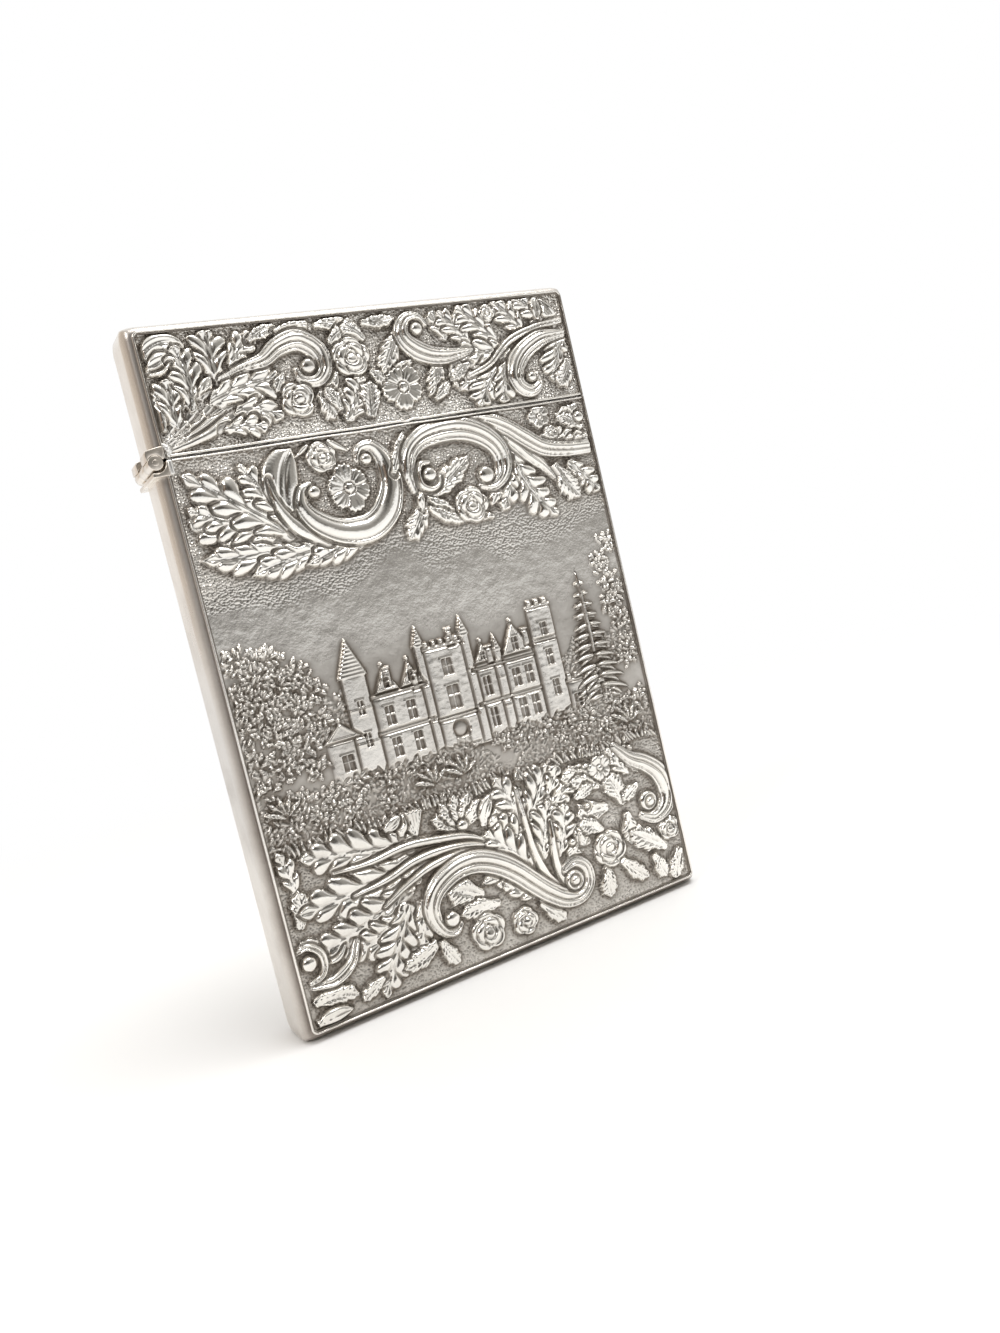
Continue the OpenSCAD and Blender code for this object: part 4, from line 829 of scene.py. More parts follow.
def back_panel(p):
    for x, y, tilt, long, bend in ((31, 79, 215, 12, 24), (31, 79, 248, 9, -10), (31, 79, 190, 9, 16),
                                   (31, 4, 140, 9, -20), (31, 4, 112, 8, 10), (2, 70, 82, 9, -24),
                                   (3, 55, 20, 8, 30), (3, 24, 350, 8, -20), (31.4, 50, 160, 7, 20),
                                   (31.4, 30, 200, 7, -20)):
        leaf(p, x, y, tilt, long, 0.42 * long, bend, ACANTHUS, 0.8)
    scroll(p, [(6.6, 39.8), (4.6, 40.6), (4.4, 43), (6.4, 45), (10, 45.6), (14, 43), (16, 38), (15, 32.6),
               (11.6, 28.4), (6.6, 26.2), (1.4, 27.4)], (1, 2.4, 3.2, 3.2, 2.4, 1.4), 6.4, 2.8)
    scroll(p, [(18.6, 19.6), (16.6, 19.4), (15.2, 21.6), (16.6, 24.6), (20, 26.4), (24, 25.4), (27.2, 21.6),
               (27.6, 16), (24.6, 10.6), (17.6, 7), (8.6, 7.4), (1.6, 11.6)],
           (1, 2.4, 3.2, 3.2, 2.6, 1.4), 6.6, 3)
    scroll(p, [(19, 59.4), (16.8, 59.8), (15.3, 57.4), (16.8, 54), (20.4, 52.2), (25, 54), (28, 59),
               (27.6, 65.4), (23.4, 70.8), (16.6, 73.6), (8, 73), (1.6, 68.6)],
           (1, 2.4, 3.2, 3.2, 2.6, 1.4), 7.2, 3.2)
    for row in BACK_LEAVES:
        leaf(p, *row)
    for x, y, r in ((10.6, 37, 3.2), (22, 17.4, 2.8), (22.4, 62, 2.8), (26, 40.4, 2.6)):
        rose(p, x, y, r, 40 * x)
    bead(p, 6.8, 41.8, 1.3)
    bead(p, 18.4, 21.6, 1.3)
    bead(p, 18.6, 57.6, 1.3)
    mirror_over(p)
    for y, r in ((20, 3.2), (40.4, 3.6), (62, 3.2)):
        daisy(p, 0, y, r, 90, 8, 1)
    for y in (12.6, 33, 48.6, 76):
        leaf(p, 0, y, 90, 5, 2.6, 0, SERRATE)


def lid_back_panel(p):
    scroll(p, [(7, 91.8), (5.2, 91.4), (4.6, 93), (6.4, 94.6), (10, 94.2), (13.4, 90.8), (17.4, 86.4),
               (22.6, 84.4), (26.8, 86.6), (27.4, 90.4), (24.8, 92.6), (22.6, 91.6)],
           (0.9, 2, 2.4, 2.6, 2.2, 1), 4.4, 2)
    for row in LID_BACK_LEAVES:
        leaf(p, *row)
    rose(p, 8, 90.2, 1.9, 20)
    rose(p, 23.4, 88.4, 2.1, 50)
    rose(p, 30, 84.8, 1.7, 80)
    rose(p, 18.6, 93, 1.9, 10)
    mirror_over(p)
    daisy(p, 0, 87.8, 3, 90, 8, 1)


# Meshes
def add_piece(name, verts, quads, rings, body, nodes, material, wear_and_shade=None, normals=None,
              crease=35):
    """Closed piece from corners in millimetres, four-sided faces and faces of any size."""
    mesh = bpy.data.meshes.new(name)
    verts = np.asarray(verts, float)
    quads = np.asarray(quads, int).reshape(-1, 4)
    loops = np.concatenate([quads.ravel()] + [np.asarray(ring, int) for ring in rings])
    sizes = np.concatenate([np.full(len(quads), 4), [len(ring) for ring in rings]]).astype(int)
    starts = np.concatenate([[0], np.cumsum(sizes)[:-1]]).astype(int)
    mesh.vertices.add(len(verts))
    mesh.vertices.foreach_set("co", (verts * MM).ravel())
    mesh.loops.add(len(loops))
    mesh.loops.foreach_set("vertex_index", loops)
    mesh.polygons.add(len(sizes))
    mesh.polygons.foreach_set("loop_start", starts)
    mesh.polygons.foreach_set("loop_total", sizes)
    mesh.polygons.foreach_set("use_smooth", np.ones(len(sizes), bool))
    mesh.update(calc_edges=True)
    # Per-vertex darkening for the material: real oxide together with painted shade
    field = mesh.attributes.new("wear_and_shade", "FLOAT", "POINT")
    field.data.foreach_set("value", np.zeros(len(verts)) if wear_and_shade is None else np.asarray(wear_and_shade, float))
    if normals is not None:
        mesh.normals_split_custom_set_from_vertices(normals.tolist())
    else:
        mesh.set_sharp_from_angle(angle=math.radians(crease))
    mesh.materials.append(material)
    piece = bpy.data.objects.new(name, mesh)
    bpy.context.collection.objects.link(piece)
    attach(piece, body)
    if nodes:
        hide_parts(*nodes)
    return piece


def cavity(p, bare=0.1):
    """How deep each place lies among its neighbours, from 0 to 1, with the bare ground darkened: oxide and
    painted shade.
    """
    near = smooth(p.high, max(1, round(0.3 / p.step))) - p.high
    wide = smooth(p.high, round(1.0 / p.step)) - p.high
    low = bare * np.clip(1 - p.high / 0.7, 0, 1)
    return np.clip(0.55 * np.clip(near / 0.16, 0, 1) + 0.35 * np.clip(wide / 0.5, 0, 1) + low, 0, 1)


def settle(p, foot, head):
    """Lets the relief die down where the plate runs under the rims and the joint strips."""
    side = np.clip((PLATE_HALF - np.abs(p.px)) / 0.5, 0.15, 1)
    low = np.clip((p.py - foot) / 0.4, 0.1, 1)
    top = np.clip((head - p.py) / 0.4, 0.1, 1)
    p.high = np.clip(p.high, -0.15, 1.18) * side * np.minimum(low, top)


def plate(name, p, rows, side, body, nodes, material, worn_and_shaded, punch=1):
    """Closed sheet whose face carries the rows of a panel; side is -1 in front, 1 behind."""
    bare = np.clip(1 - p.high / 0.22, 0, 1) * punch
    x = p.px[rows]
    z = p.py[rows]
    high = p.high[rows]
    count_z, count_x = x.shape
    index = np.arange(x.size).reshape(x.shape)
    grad_z, grad_x = np.gradient(p.high, p.step)
    normals = np.stack([-grad_x[rows], np.full(x.shape, float(side)), -grad_z[rows]], -1)
    normals /= np.linalg.norm(normals, axis=-1, keepdims=True)
    face = np.stack([x, side * (GROUND + high), z], -1).reshape(-1, 3)
    edge = np.concatenate([index[0, :-1], index[:-1, -1], index[-1, :0:-1], index[:0:-1, 0]])
    back = face[edge].copy()
    back[:, 1] = side * PLATE_BACK
    under = x.size + np.arange(len(edge))
    quads = np.stack([index[:-1, :-1], index[:-1, 1:], index[1:, 1:], index[1:, :-1]], -1)
    after = np.roll(edge, -1)
    below = np.roll(under, -1)
    walls = np.stack([after, edge, under, below], -1)
    quads = np.concatenate([quads.reshape(-1, 4), walls])
    ring = under[::-1]
    if side > 0:
        quads = quads[:, ::-1]
        ring = under
    flat = np.tile([0.0, -float(side), 0.0], (len(edge), 1))
    # The walls hidden under the rims are painted a little darker, as painted shade
    wear_and_shade = np.concatenate([worn_and_shaded[rows].ravel(), np.full(len(edge), 0.3)])
    piece = add_piece(name, np.concatenate([face, back]), quads, [ring], body, nodes,
                      material, wear_and_shade,
                      np.concatenate([normals.reshape(-1, 3), flat]))
    field = piece.data.attributes.new("punch", "FLOAT", "POINT")
    field.data.foreach_set("value", np.concatenate([bare[rows].ravel(), np.zeros(len(edge))]))


def u_line(left_end, right_end, lid=False, pace=0.8, corner_steps=14):
    """Places along the rim line with their outward directions, from the left leg to the right."""
    if lid:
        left_end = RIM_FOOT + RIM_HEAD - left_end
        right_end = RIM_FOOT + RIM_HEAD - right_end
    turn = RIM_FOOT + CORNER
    inner = RIM_HALF - CORNER
    rows = []
    for z in np.linspace(left_end, turn, max(2, int((left_end - turn) / pace)), endpoint=False):
        rows.append((-RIM_HALF, z, -1, 0))
    for a in np.radians(np.linspace(180, 270, corner_steps, endpoint=False)):
        rows.append((-inner + CORNER * math.cos(a), turn + CORNER * math.sin(a),
                     math.cos(a), math.sin(a)))
    for x in np.linspace(-inner, inner, int(2 * inner / pace), endpoint=False):
        rows.append((x, RIM_FOOT, 0, -1))
    for a in np.radians(np.linspace(270, 360, corner_steps, endpoint=False)):
        rows.append((inner + CORNER * math.cos(a), turn + CORNER * math.sin(a),
                     math.cos(a), math.sin(a)))
    for z in np.linspace(turn, right_end, max(2, int((right_end - turn) / pace))):
        rows.append((RIM_HALF, z, 1, 0))
    line = np.array(rows)
    if lid:
        line[:, 1] = RIM_FOOT + RIM_HEAD - line[:, 1]
        line[:, 3] *= -1
    return line


def sweep(name, line, profile, body, nodes, material, worn_and_shaded, lid=False, ripple=0.0, seed=1,
          low_shade=0.0):
    """Carries a closed profile of (outward, depth) corners along a line."""
    profile = np.asarray(profile, float)
    drift = smooth(np.random.default_rng(seed).standard_normal((len(line), 1)), 2) * ripple
    out = profile[None, :, 0] + drift
    # The sheet is nearly mitred at the corners
    grow = np.sum(np.abs(line[:, 2:4]) ** 12, axis=1, keepdims=True) ** (-1 / 12)
    x = line[:, 0:1] + line[:, 2:3] * out * grow
    z = line[:, 1:2] + line[:, 3:4] * out * grow
    y = np.broadcast_to(profile[None, :, 1], x.shape)
    verts = np.stack([x, y, z], -1).reshape(-1, 3)
    n = len(profile)
    index = np.arange(x.size).reshape(x.shape)
    turned = np.roll(index, -1, axis=1)
    quads = np.stack([index[:-1], turned[:-1], turned[1:], index[1:]], -1).reshape(-1, 4)
    rings = [index[0][::-1], index[-1]]
    if not lid:
        quads = quads[:, ::-1]
        rings = [ring[::-1] for ring in rings]
    # The lower half is painted a little darker, as painted shade
    low = low_shade * np.clip((66 - line[:, 1]) / 22, 0, 1)
    wear_and_shade = (low[:, None] + np.asarray(worn_and_shaded, float)).ravel()
    return add_piece(name, verts, quads, rings, body, nodes, material, wear_and_shade)


def band_half(steps=18):
    """Half of the band's outer edge, from the front rim to the crown of the swell."""
    rows = []
    for t in np.linspace(0, 1, steps + 1):
        rows.append((BULGE * math.sin(math.pi / 2 * t),
                     -RIM_BACK + SHOULDER * (1 - math.cos(math.pi / 2 * t))))
    return rows


def band_profile():
    outer = band_half()
    inner = [(x - BAND_T, y) for x, y in band_half(6)][::-1]
    near = inner + outer
    far = [(x, -y) for x, y in near][::-1]
    profile = near + far
    # Painted darker next to the rims and inside by them: oxide in the join and painted shade
    worn_and_shaded = [0.75 * math.exp(-(RIM_BACK - abs(y)) / 0.42) + (0.5 if x < 0 else 0) for x, y in profile]
    return profile, worn_and_shaded


def rim_profile(side, steps=10):
    """Bright reed on the band's edge, with the groove between it and the plate and the reed's flanks
    painted darker, as oxide and painted shade.
    """
    reed = 0.3
    low = GROUND + 0.12
    profile = [(-RIM_W, side * RIM_BACK), (-RIM_W, side * (low + 0.1)), (-0.42, side * low),
               (-reed - 0.02, side * low)]
    worn_and_shaded = [0.5, 0.5, 0.5, 0.5]
    for a in np.radians(np.linspace(180, 0, steps + 1)):
        profile.append((reed / 2 * (math.cos(a) - 1), side * (HALF_D - 0.17 * (1 - math.sin(a)))))
        worn_and_shaded.append(0.5 * (1 - math.sin(a)) ** 2)
    profile.append((0, side * RIM_BACK))
    worn_and_shaded.append(0.5)
    if side > 0:
        profile.reverse()
        worn_and_shaded.reverse()
    return profile, worn_and_shaded


def strip(name, foot, head, side, body, nodes, seed):
    """Rounded strip along the joint line, a little bent by use."""
    xs = np.linspace(-RIM_HALF + RIM_W + 0.6, PLATE_HALF, 180)
    draw = np.random.default_rng(seed)
    sway = smooth(draw.standard_normal((len(xs), 1)), 6)[:, 0]
    sway = 0.03 * sway / sway.std()
    kink = 0.16 * np.exp(-(((xs - 2.1) / 0.5) ** 2)) - 0.1 * np.exp(-(((xs - 3.3) / 0.6) ** 2))
    if "lid_front" in name:
        sway = sway - kink
    middle = (foot + head) / 2
    half = (head - foot) / 2
    ring = [(GROUND - 0.1, -half)]
    for a in np.radians(np.linspace(-90, 90, 9)):
        ring.append((HALF_D - 0.26 + 0.2 * math.cos(a), half * math.sin(a)))
    ring.append((GROUND - 0.1, half))
    rows = []
    for x, shift in zip(xs, sway):
        rows.append([(x, side * y, middle + shift + z) for y, z in ring])
    verts = np.array(rows).reshape(-1, 3)
    n = len(ring)
    index = np.arange(len(verts)).reshape(len(xs), n)
    turned = np.roll(index, -1, axis=1)
    quads = np.stack([index[:-1], index[1:], turned[1:], turned[:-1]], -1).reshape(-1, 4)
    rings = [index[0], index[-1][::-1]]
    if side > 0:
        quads = quads[:, ::-1]
        rings = [ring_row[::-1] for ring_row in rings]
    # The crest stays bright; the flanks and the foot against the plate are painted darker, as oxide and
    # painted shade
    worn_and_shaded = np.tile([0.9] + [0.5 * abs(k / 4 - 1) ** 2 for k in range(9)] + [0.9], len(xs))
    add_piece(name, verts, quads, rings, body, nodes, rimmed, worn_and_shaded, crease=60)


def inset(outline, amount):
    """Outline moved inwards by the same distance all round; it runs anticlockwise."""
    p = np.asarray(outline, float)
    ahead = np.roll(p, -1, axis=0) - p
    ahead /= np.linalg.norm(ahead, axis=1)[:, None]
    into = np.stack([-ahead[:, 1], ahead[:, 0]], 1)
    both = into + np.roll(into, 1, axis=0)
    both /= np.maximum(np.sum(both * into, axis=1), 0.6)[:, None]
    return p + amount * both


def prism(name, outline, start, end, bevel, body, nodes, material, worn_and_shaded=0.0, steps=4):
    """Solid with a flat outline round the hinge's axis, from one depth to another, edges eased."""
    ease = np.linspace(0, math.pi / 2, steps)
    rings = []
    for a in ease[::-1]:
        rings.append((start + bevel * (1 - math.sin(a)), bevel * (1 - math.cos(a))))
    for a in ease:
        rings.append((end - bevel * (1 - math.sin(a)), bevel * (1 - math.cos(a))))
    rows = []
    for y, amount in rings:
        shape = inset(outline, amount)
        rows.append([(AXIS_X + u, y, AXIS_Z + v) for u, v in shape])
    verts = np.array(rows).reshape(-1, 3)
    index = np.arange(len(verts)).reshape(len(rings), -1)
    turned = np.roll(index, -1, axis=1)
    quads = np.stack([index[:-1], turned[:-1], turned[1:], index[1:]], -1).reshape(-1, 4)
    wear_and_shade = np.full(len(verts), worn_and_shaded)
    return add_piece(name, verts, quads[:, ::-1], [index[0], index[-1][::-1]], body, nodes,
                     material, wear_and_shade, crease=40)


def arc(r, begin, end, steps=10, u=0.0, v=0.0):
    """Points on a circle round (u, v), from one angle to another."""
    return [(u + r * math.cos(a), v + r * math.sin(a))
            for a in np.radians(np.linspace(begin, end, steps))]


def lump(name, spots, side, body, nodes, material):
    """Run of solder: a smooth blob over (outward, up, radius) spots."""
    count = 14
    path = spline([(u, v) for u, v, _ in spots], 5)
    radii = np.interp(np.linspace(0, 1, len(path)), np.linspace(0, 1, len(spots)),
                      [r for _, _, r in spots])
    ahead = np.gradient(path, axis=0)
    ahead /= np.linalg.norm(ahead, axis=1)[:, None]
    draw = np.random.default_rng(31)
    rows = []
    for (u, v), (du, dv), r in zip(path, ahead, radii):
        r = r * draw.uniform(0.88, 1.1)
        rows.append([(AXIS_X + u - dv * r * math.cos(a), side * (GROUND + 0.05 + 1.05 * r * math.sin(a)),
                      AXIS_Z + v + du * r * math.cos(a))
                     for a in np.linspace(0, 2 * math.pi, count, endpoint=False)])
    verts = np.array(rows).reshape(-1, 3)
    index = np.arange(len(verts)).reshape(len(path), count)
    turned = np.roll(index, -1, axis=1)
    quads = np.stack([index[:-1], index[1:], turned[1:], turned[:-1]], -1).reshape(-1, 4)
    rings = [index[0], index[-1][::-1]]
    if side < 0:
        quads = quads[:, ::-1]
        rings = [ring_row[::-1] for ring_row in rings]
    add_piece(name, verts, quads, rings, body, nodes, material, crease=60)


def hinge():
    """Knuckles and pin between the lid's bearer above and the body's bearer below."""
    third = (2 * HALF_D - 0.2) / 3
    spans = [(-HALF_D + k * (third + 0.1), -HALF_D + k * (third + 0.1) + third) for k in range(3)]
    disc = arc(1.0, 0, 360, 41)[:-1]
    for (start, end), name, body in zip(spans, ("lid_front_knuckle", "body_knuckle",
                                                "lid_back_knuckle"), ("lid", "body", "lid")):
        prism(f"hinge_{name}", disc, start, end, 0.1, body, [name], hinged)
    prism("hinge_pin_ends", arc(0.42, 0, 360, 33)[:-1], -HALF_D - 0.03, HALF_D + 0.03, 0.05, "body",
          ["hinge_pin"], hinged)
    block = ([(-1.1, 0.34), (-1.0, 0.36)] + arc(1.04, 159, 21, 20)
             + [(1.1, 0.36), (1.34, 0.5), (1.4, 1.2), (1.4, 1.95), (1.3, 2.06), (0.6, 2.0),
                (-0.2, 1.86), (-0.85, 1.72), (-1.02, 1.62), (-1.1, 1.45)])
    bridge = ([(-0.3, 1.36)] + arc(1.34, 102, 30, 8)
              + [(1.5, 0.5), (1.6, 1.2), (1.6, 1.8), (0.6, 1.94), (-0.3, 1.8)])
    prism("hinge_lid_block_front", block, spans[0][0], spans[0][1] + 0.1, 0.1, "lid", ["lid_bearer"],
          hinged)
    prism("hinge_lid_block_back", block, spans[2][0] - 0.1, spans[2][1], 0.1, "lid", ["lid_bearer"],
          hinged)
    prism("hinge_lid_bridge", bridge, spans[1][0] - 0.1, spans[1][1] + 0.1, 0.05, "lid",
          ["lid_bearer"], hinged)
    trough = ([(-0.62, -1.9), (1.62, -1.9), (1.62, 0.1), (1.5, 0.18), (1.42, 0.12)]
              + arc(1.36, -8, -114, 18) + [(-0.62, -1.28), (-0.7, -1.4), (-0.7, -1.8)])
    prism("hinge_body_trough", trough, -HALF_D + 0.06, HALF_D - 0.06, 0.1, "body", ["body_bearer"],
          hinged)
    ear = [(1.52, -1.9), (2.06, -1.86), (2.2, -1.7), (2.2, -0.1), (2.1, 0.12), (1.86, 0.2),
           (1.62, 0.2), (1.46, 0.1), (1.44, -0.6), (1.46, -1.4)]
    for start, end, place in ((-HALF_D - 0.09, 0.1 - GROUND, "front"),
                              (GROUND - 0.1, HALF_D + 0.09, "back")):
        prism(f"hinge_ear_{place}", ear, start, end, 0.33, "body", ["body_bearer"], solder, 0, 7)
    run = ((1.3, 2.35, 0.2), (1.64, 2.1, 0.4), (2.04, 1.6, 0.46), (2.2, 1.15, 0.42),
           (2.0, 0.78, 0.3), (2.4, 0.66, 0.22), (3.0, 0.66, 0.12))
    for side, end in ((-1, "front"), (1, "back")):
        lump(f"hinge_solder_{end}", run, side, "lid", ["lid_bearer"], solder)


# Materials
def link(tree, start, end):
    tree.links.new(start, end)


def silver(name, bright, dark, shine, worn_and_shaded, speck=0.02, patch=0.25, scratch=0.0, wear_and_shade_field=True,
           punched=0.0):
    """Old polished silver: dark in its hollows from oxide and painted shade, with soft blotches, fine grain
    and scratches.
    """
    material = bpy.data.materials.new(name)
    material.use_nodes = True
    tree = material.node_tree
    add = tree.nodes.new
    shader = tree.nodes["Principled BSDF"]
    shader.inputs["Metallic"].default_value = 1
    place = add("ShaderNodeTexCoord").outputs["Object"]
    blotch = add("ShaderNodeTexNoise")
    blotch.inputs["Scale"].default_value = 130
    blotch.inputs["Detail"].default_value = 5
    blotch.inputs["Roughness"].default_value = 0.62
    link(tree, place, blotch.inputs["Vector"])
    soft = add("ShaderNodeMapRange")
    soft.inputs["From Min"].default_value = 0.42
    soft.inputs["From Max"].default_value = 0.72
    soft.inputs["To Max"].default_value = patch
    link(tree, blotch.outputs["Fac"], soft.inputs["Value"])
    grain = add("ShaderNodeTexNoise")
    grain.inputs["Scale"].default_value = 2600
    grain.inputs["Detail"].default_value = 3
    link(tree, place, grain.inputs["Vector"])
    stain_and_shade = soft.outputs["Result"]
    # The per-vertex wear field darkens the colour: oxide and painted shade in hollows and joins
    if wear_and_shade_field:
        field = add("ShaderNodeAttribute")
        field.attribute_name = "wear_and_shade"
        deep = add("ShaderNodeMath")
        deep.operation = "MULTIPLY_ADD"
        deep.inputs[1].default_value = worn_and_shaded
        link(tree, field.outputs["Fac"], deep.inputs[0])
        link(tree, stain_and_shade, deep.inputs[2])
        stain_and_shade = deep.outputs["Value"]
    if punched:
        dots = add("ShaderNodeTexVoronoi")
        dots.feature = "SMOOTH_F1"
        dots.inputs["Scale"].default_value = 2700
        dots.inputs["Smoothness"].default_value = 0.2
        dots.inputs["Randomness"].default_value = 0.9
        link(tree, place, dots.inputs["Vector"])
        where = add("ShaderNodeAttribute")
        where.attribute_name = "punch"
        # Punched pits are painted darker at their middles and the punched ground darker overall: grime held
        # there and painted shade
        pit = add("ShaderNodeMapRange")
        pit.inputs["From Min"].default_value = 0.12
        pit.inputs["From Max"].default_value = 0.55
        pit.inputs["To Min"].default_value = 0.5
        pit.inputs["To Max"].default_value = 0.06
        link(tree, dots.outputs["Distance"], pit.inputs["Value"])
        pit_grime_and_shade = add("ShaderNodeMath")
        pit_grime_and_shade.operation = "MULTIPLY_ADD"
        link(tree, pit.outputs["Result"], pit_grime_and_shade.inputs[0])
        link(tree, where.outputs["Fac"], pit_grime_and_shade.inputs[1])
        link(tree, stain_and_shade, pit_grime_and_shade.inputs[2])
        stain_and_shade = pit_grime_and_shade.outputs["Value"]
    mottle = add("ShaderNodeMath")
    mottle.operation = "MULTIPLY_ADD"
    mottle.use_clamp = True
    mottle.inputs[1].default_value = 0.1
    link(tree, grain.outputs["Fac"], mottle.inputs[0])
    link(tree, stain_and_shade, mottle.inputs[2])
    tone = add("ShaderNodeValToRGB")
    tone.color_ramp.elements[0].position = 0.06
    tone.color_ramp.elements[0].color = (*bright, 1)
    tone.color_ramp.elements[1].position = 1
    tone.color_ramp.elements[1].color = (*dark, 1)
    middle = tone.color_ramp.elements.new(0.5)
    middle.color = (*[0.42 * b + 0.58 * d for b, d in zip(bright, dark)], 1)
    link(tree, mottle.outputs["Value"], tone.inputs["Fac"])
    link(tree, tone.outputs["Color"], shader.inputs["Base Color"])
    matt = add("ShaderNodeMapRange")
    matt.inputs["To Min"].default_value = shine
    matt.inputs["To Max"].default_value = min(1, shine + 0.35)
    link(tree, mottle.outputs["Value"], matt.inputs["Value"])
    link(tree, matt.outputs["Result"], shader.inputs["Roughness"])
    bump = add("ShaderNodeBump")
    bump.inputs["Strength"].default_value = 1
    bump.inputs["Distance"].default_value = speck * MM
    link(tree, grain.outputs["Fac"], bump.inputs["Height"])
    if scratch:
        stretch = add("ShaderNodeMapping")
        stretch.inputs["Scale"].default_value = (1, 1, 0.04)
        link(tree, place, stretch.inputs["Vector"])
        lines = add("ShaderNodeTexNoise")
        lines.inputs["Scale"].default_value = 3200
        lines.inputs["Detail"].default_value = 2
        link(tree, stretch.outputs["Vector"], lines.inputs["Vector"])
        rub = add("ShaderNodeBump")
        rub.inputs["Strength"].default_value = 1
        rub.inputs["Distance"].default_value = scratch * MM
        link(tree, lines.outputs["Fac"], rub.inputs["Height"])
        link(tree, rub.outputs["Normal"], bump.inputs["Normal"])
    last = bump
    if punched:
        last = add("ShaderNodeBump")
        last.invert = True
        last.inputs["Distance"].default_value = punched * MM
        link(tree, where.outputs["Fac"], last.inputs["Strength"])
        link(tree, dots.outputs["Distance"], last.inputs["Height"])
        link(tree, bump.outputs["Normal"], last.inputs["Normal"])
    link(tree, last.outputs["Normal"], shader.inputs["Normal"])
    return material


BRIGHT = (0.97, 0.945, 0.895)
DARK = (0.21, 0.18, 0.15)
embossed = silver("embossed_silver", BRIGHT, DARK, 0.13, 0.72, 0.02, 0.12, punched=0.3)
banded = silver("band_silver", (0.95, 0.915, 0.86), (0.34, 0.3, 0.27), 0.2, 0.8, 0.004, 0.16, 0.006)
rimmed = silver("rim_silver", (0.96, 0.93, 0.875), (0.2, 0.165, 0.14), 0.2, 0.85, 0.006, 0.16)
hinged = silver("hinge_silver", (0.97, 0.9, 0.81), (0.26, 0.21, 0.17), 0.24, 0.6, 0.01, 0.2)
solder = silver("solder_silver", (0.97, 0.96, 0.93), (0.4, 0.37, 0.33), 0.42, 0.6, 0.01, 0.1,
                wear_and_shade_field=False)
inside = silver("bezel_silver", (0.8, 0.78, 0.75), (0.3, 0.27, 0.24), 0.3, 0.5, 0.008, 0.3, 0.01,
                wear_and_shade_field=False)

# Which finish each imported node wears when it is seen
for node_name, node in frame["nodes"].items():
    finish = hinged
    if "band" in node_name or "mouth" in node_name or "rim" in node_name:
        finish = rimmed
    if node_name == "bezel":
        finish = inside
    for i in range(max(1, len(node.material_slots))):
        if node.material_slots:
            node.material_slots[i].material = finish
        else:
            node.data.materials.append(finish)

# Embossed plates
front = Panel(-PLATE_HALF, PLATE_HALF, BODY_FOOT, BODY_TOP, 0.15)
front.lift(FOOT_LIFT)
landscape(front)
low_panel(front)
front.lift(JOINT_LIFT - FOOT_LIFT)
top_panel(front)
front.lift(-JOINT_LIFT)
patch = smooth(np.random.default_rng(8).standard_normal(front.high.shape), 12)
sky = np.clip((front.py - 26.6) / 3, 0, 1) * np.clip((69 - front.py + 2 * patch / patch.std()) / 9, 0, 1)
punch = 1 - sky
dent(front, 0.009)
settle(front, BODY_FOOT, BODY_TOP - MOUTH + 0.1)
# The landscape is painted darker all over, the bare ground more so towards the bottom, and the lower left
# darker still as painted shade
land = np.clip((front.py - 24) / 4, 0, 1) * np.clip((54 - front.py) / 6, 0, 1)
front_wear_and_shade = cavity(front, np.interp(front.py, [20, 60], [0.34, 0.24])) + 0.28 * land
front_wear_and_shade += 0.1 * np.clip(-front.px / 12, 0, 1) * np.clip((30 - front.py) / 6, 0, 1)
punch *= np.interp(front.py, [20, 60], [0.5, 0.85])
splits = np.searchsorted(front.y, [BODY_FOOT - 1, 26.6, 58, BODY_TOP + 1])
for number, name in enumerate(("front_scrolls_low", "front_landscape", "front_scrolls_top")):
    rows = slice(splits[number], min(splits[number + 1] + 1, len(front.y)))
    plate(name, front, rows, -1, "body", ["body_front_plate"], embossed, front_wear_and_shade, punch)

lid_front = Panel(-PLATE_HALF, PLATE_HALF, LID_BOTTOM, LID_HEAD, 0.12)
lid_front.lift(JOINT_LIFT)
lid_panel(lid_front)
lid_front.lift(-JOINT_LIFT)
dent(lid_front, 0.02)
settle(lid_front, LID_BOTTOM + MOUTH - 0.1, LID_HEAD)
plate("lid_front_scrolls", lid_front, slice(0, None), -1, "lid", ["lid_front_plate"], embossed,
      cavity(lid_front))

back = Panel(-PLATE_HALF, PLATE_HALF, BODY_FOOT, BODY_TOP, 0.24)
back.lift(FOOT_LIFT)
back_panel(back)
back.lift(-FOOT_LIFT)
dent(back, 0.02)
settle(back, BODY_FOOT, BODY_TOP - MOUTH + 0.1)
plate("back_scrolls", back, slice(0, None), 1, "body", ["body_back_plate"], embossed, cavity(back))

lid_back = Panel(-PLATE_HALF, PLATE_HALF, LID_BOTTOM, LID_HEAD, 0.2)
lid_back.lift(JOINT_LIFT)
lid_back_panel(lid_back)
lid_back.lift(-JOINT_LIFT)
dent(lid_back, 0.02)
settle(lid_back, LID_BOTTOM + MOUTH - 0.1, LID_HEAD)
plate("lid_back_scrolls", lid_back, slice(0, None), 1, "lid", ["lid_back_plate"], embossed,
      cavity(lid_back))

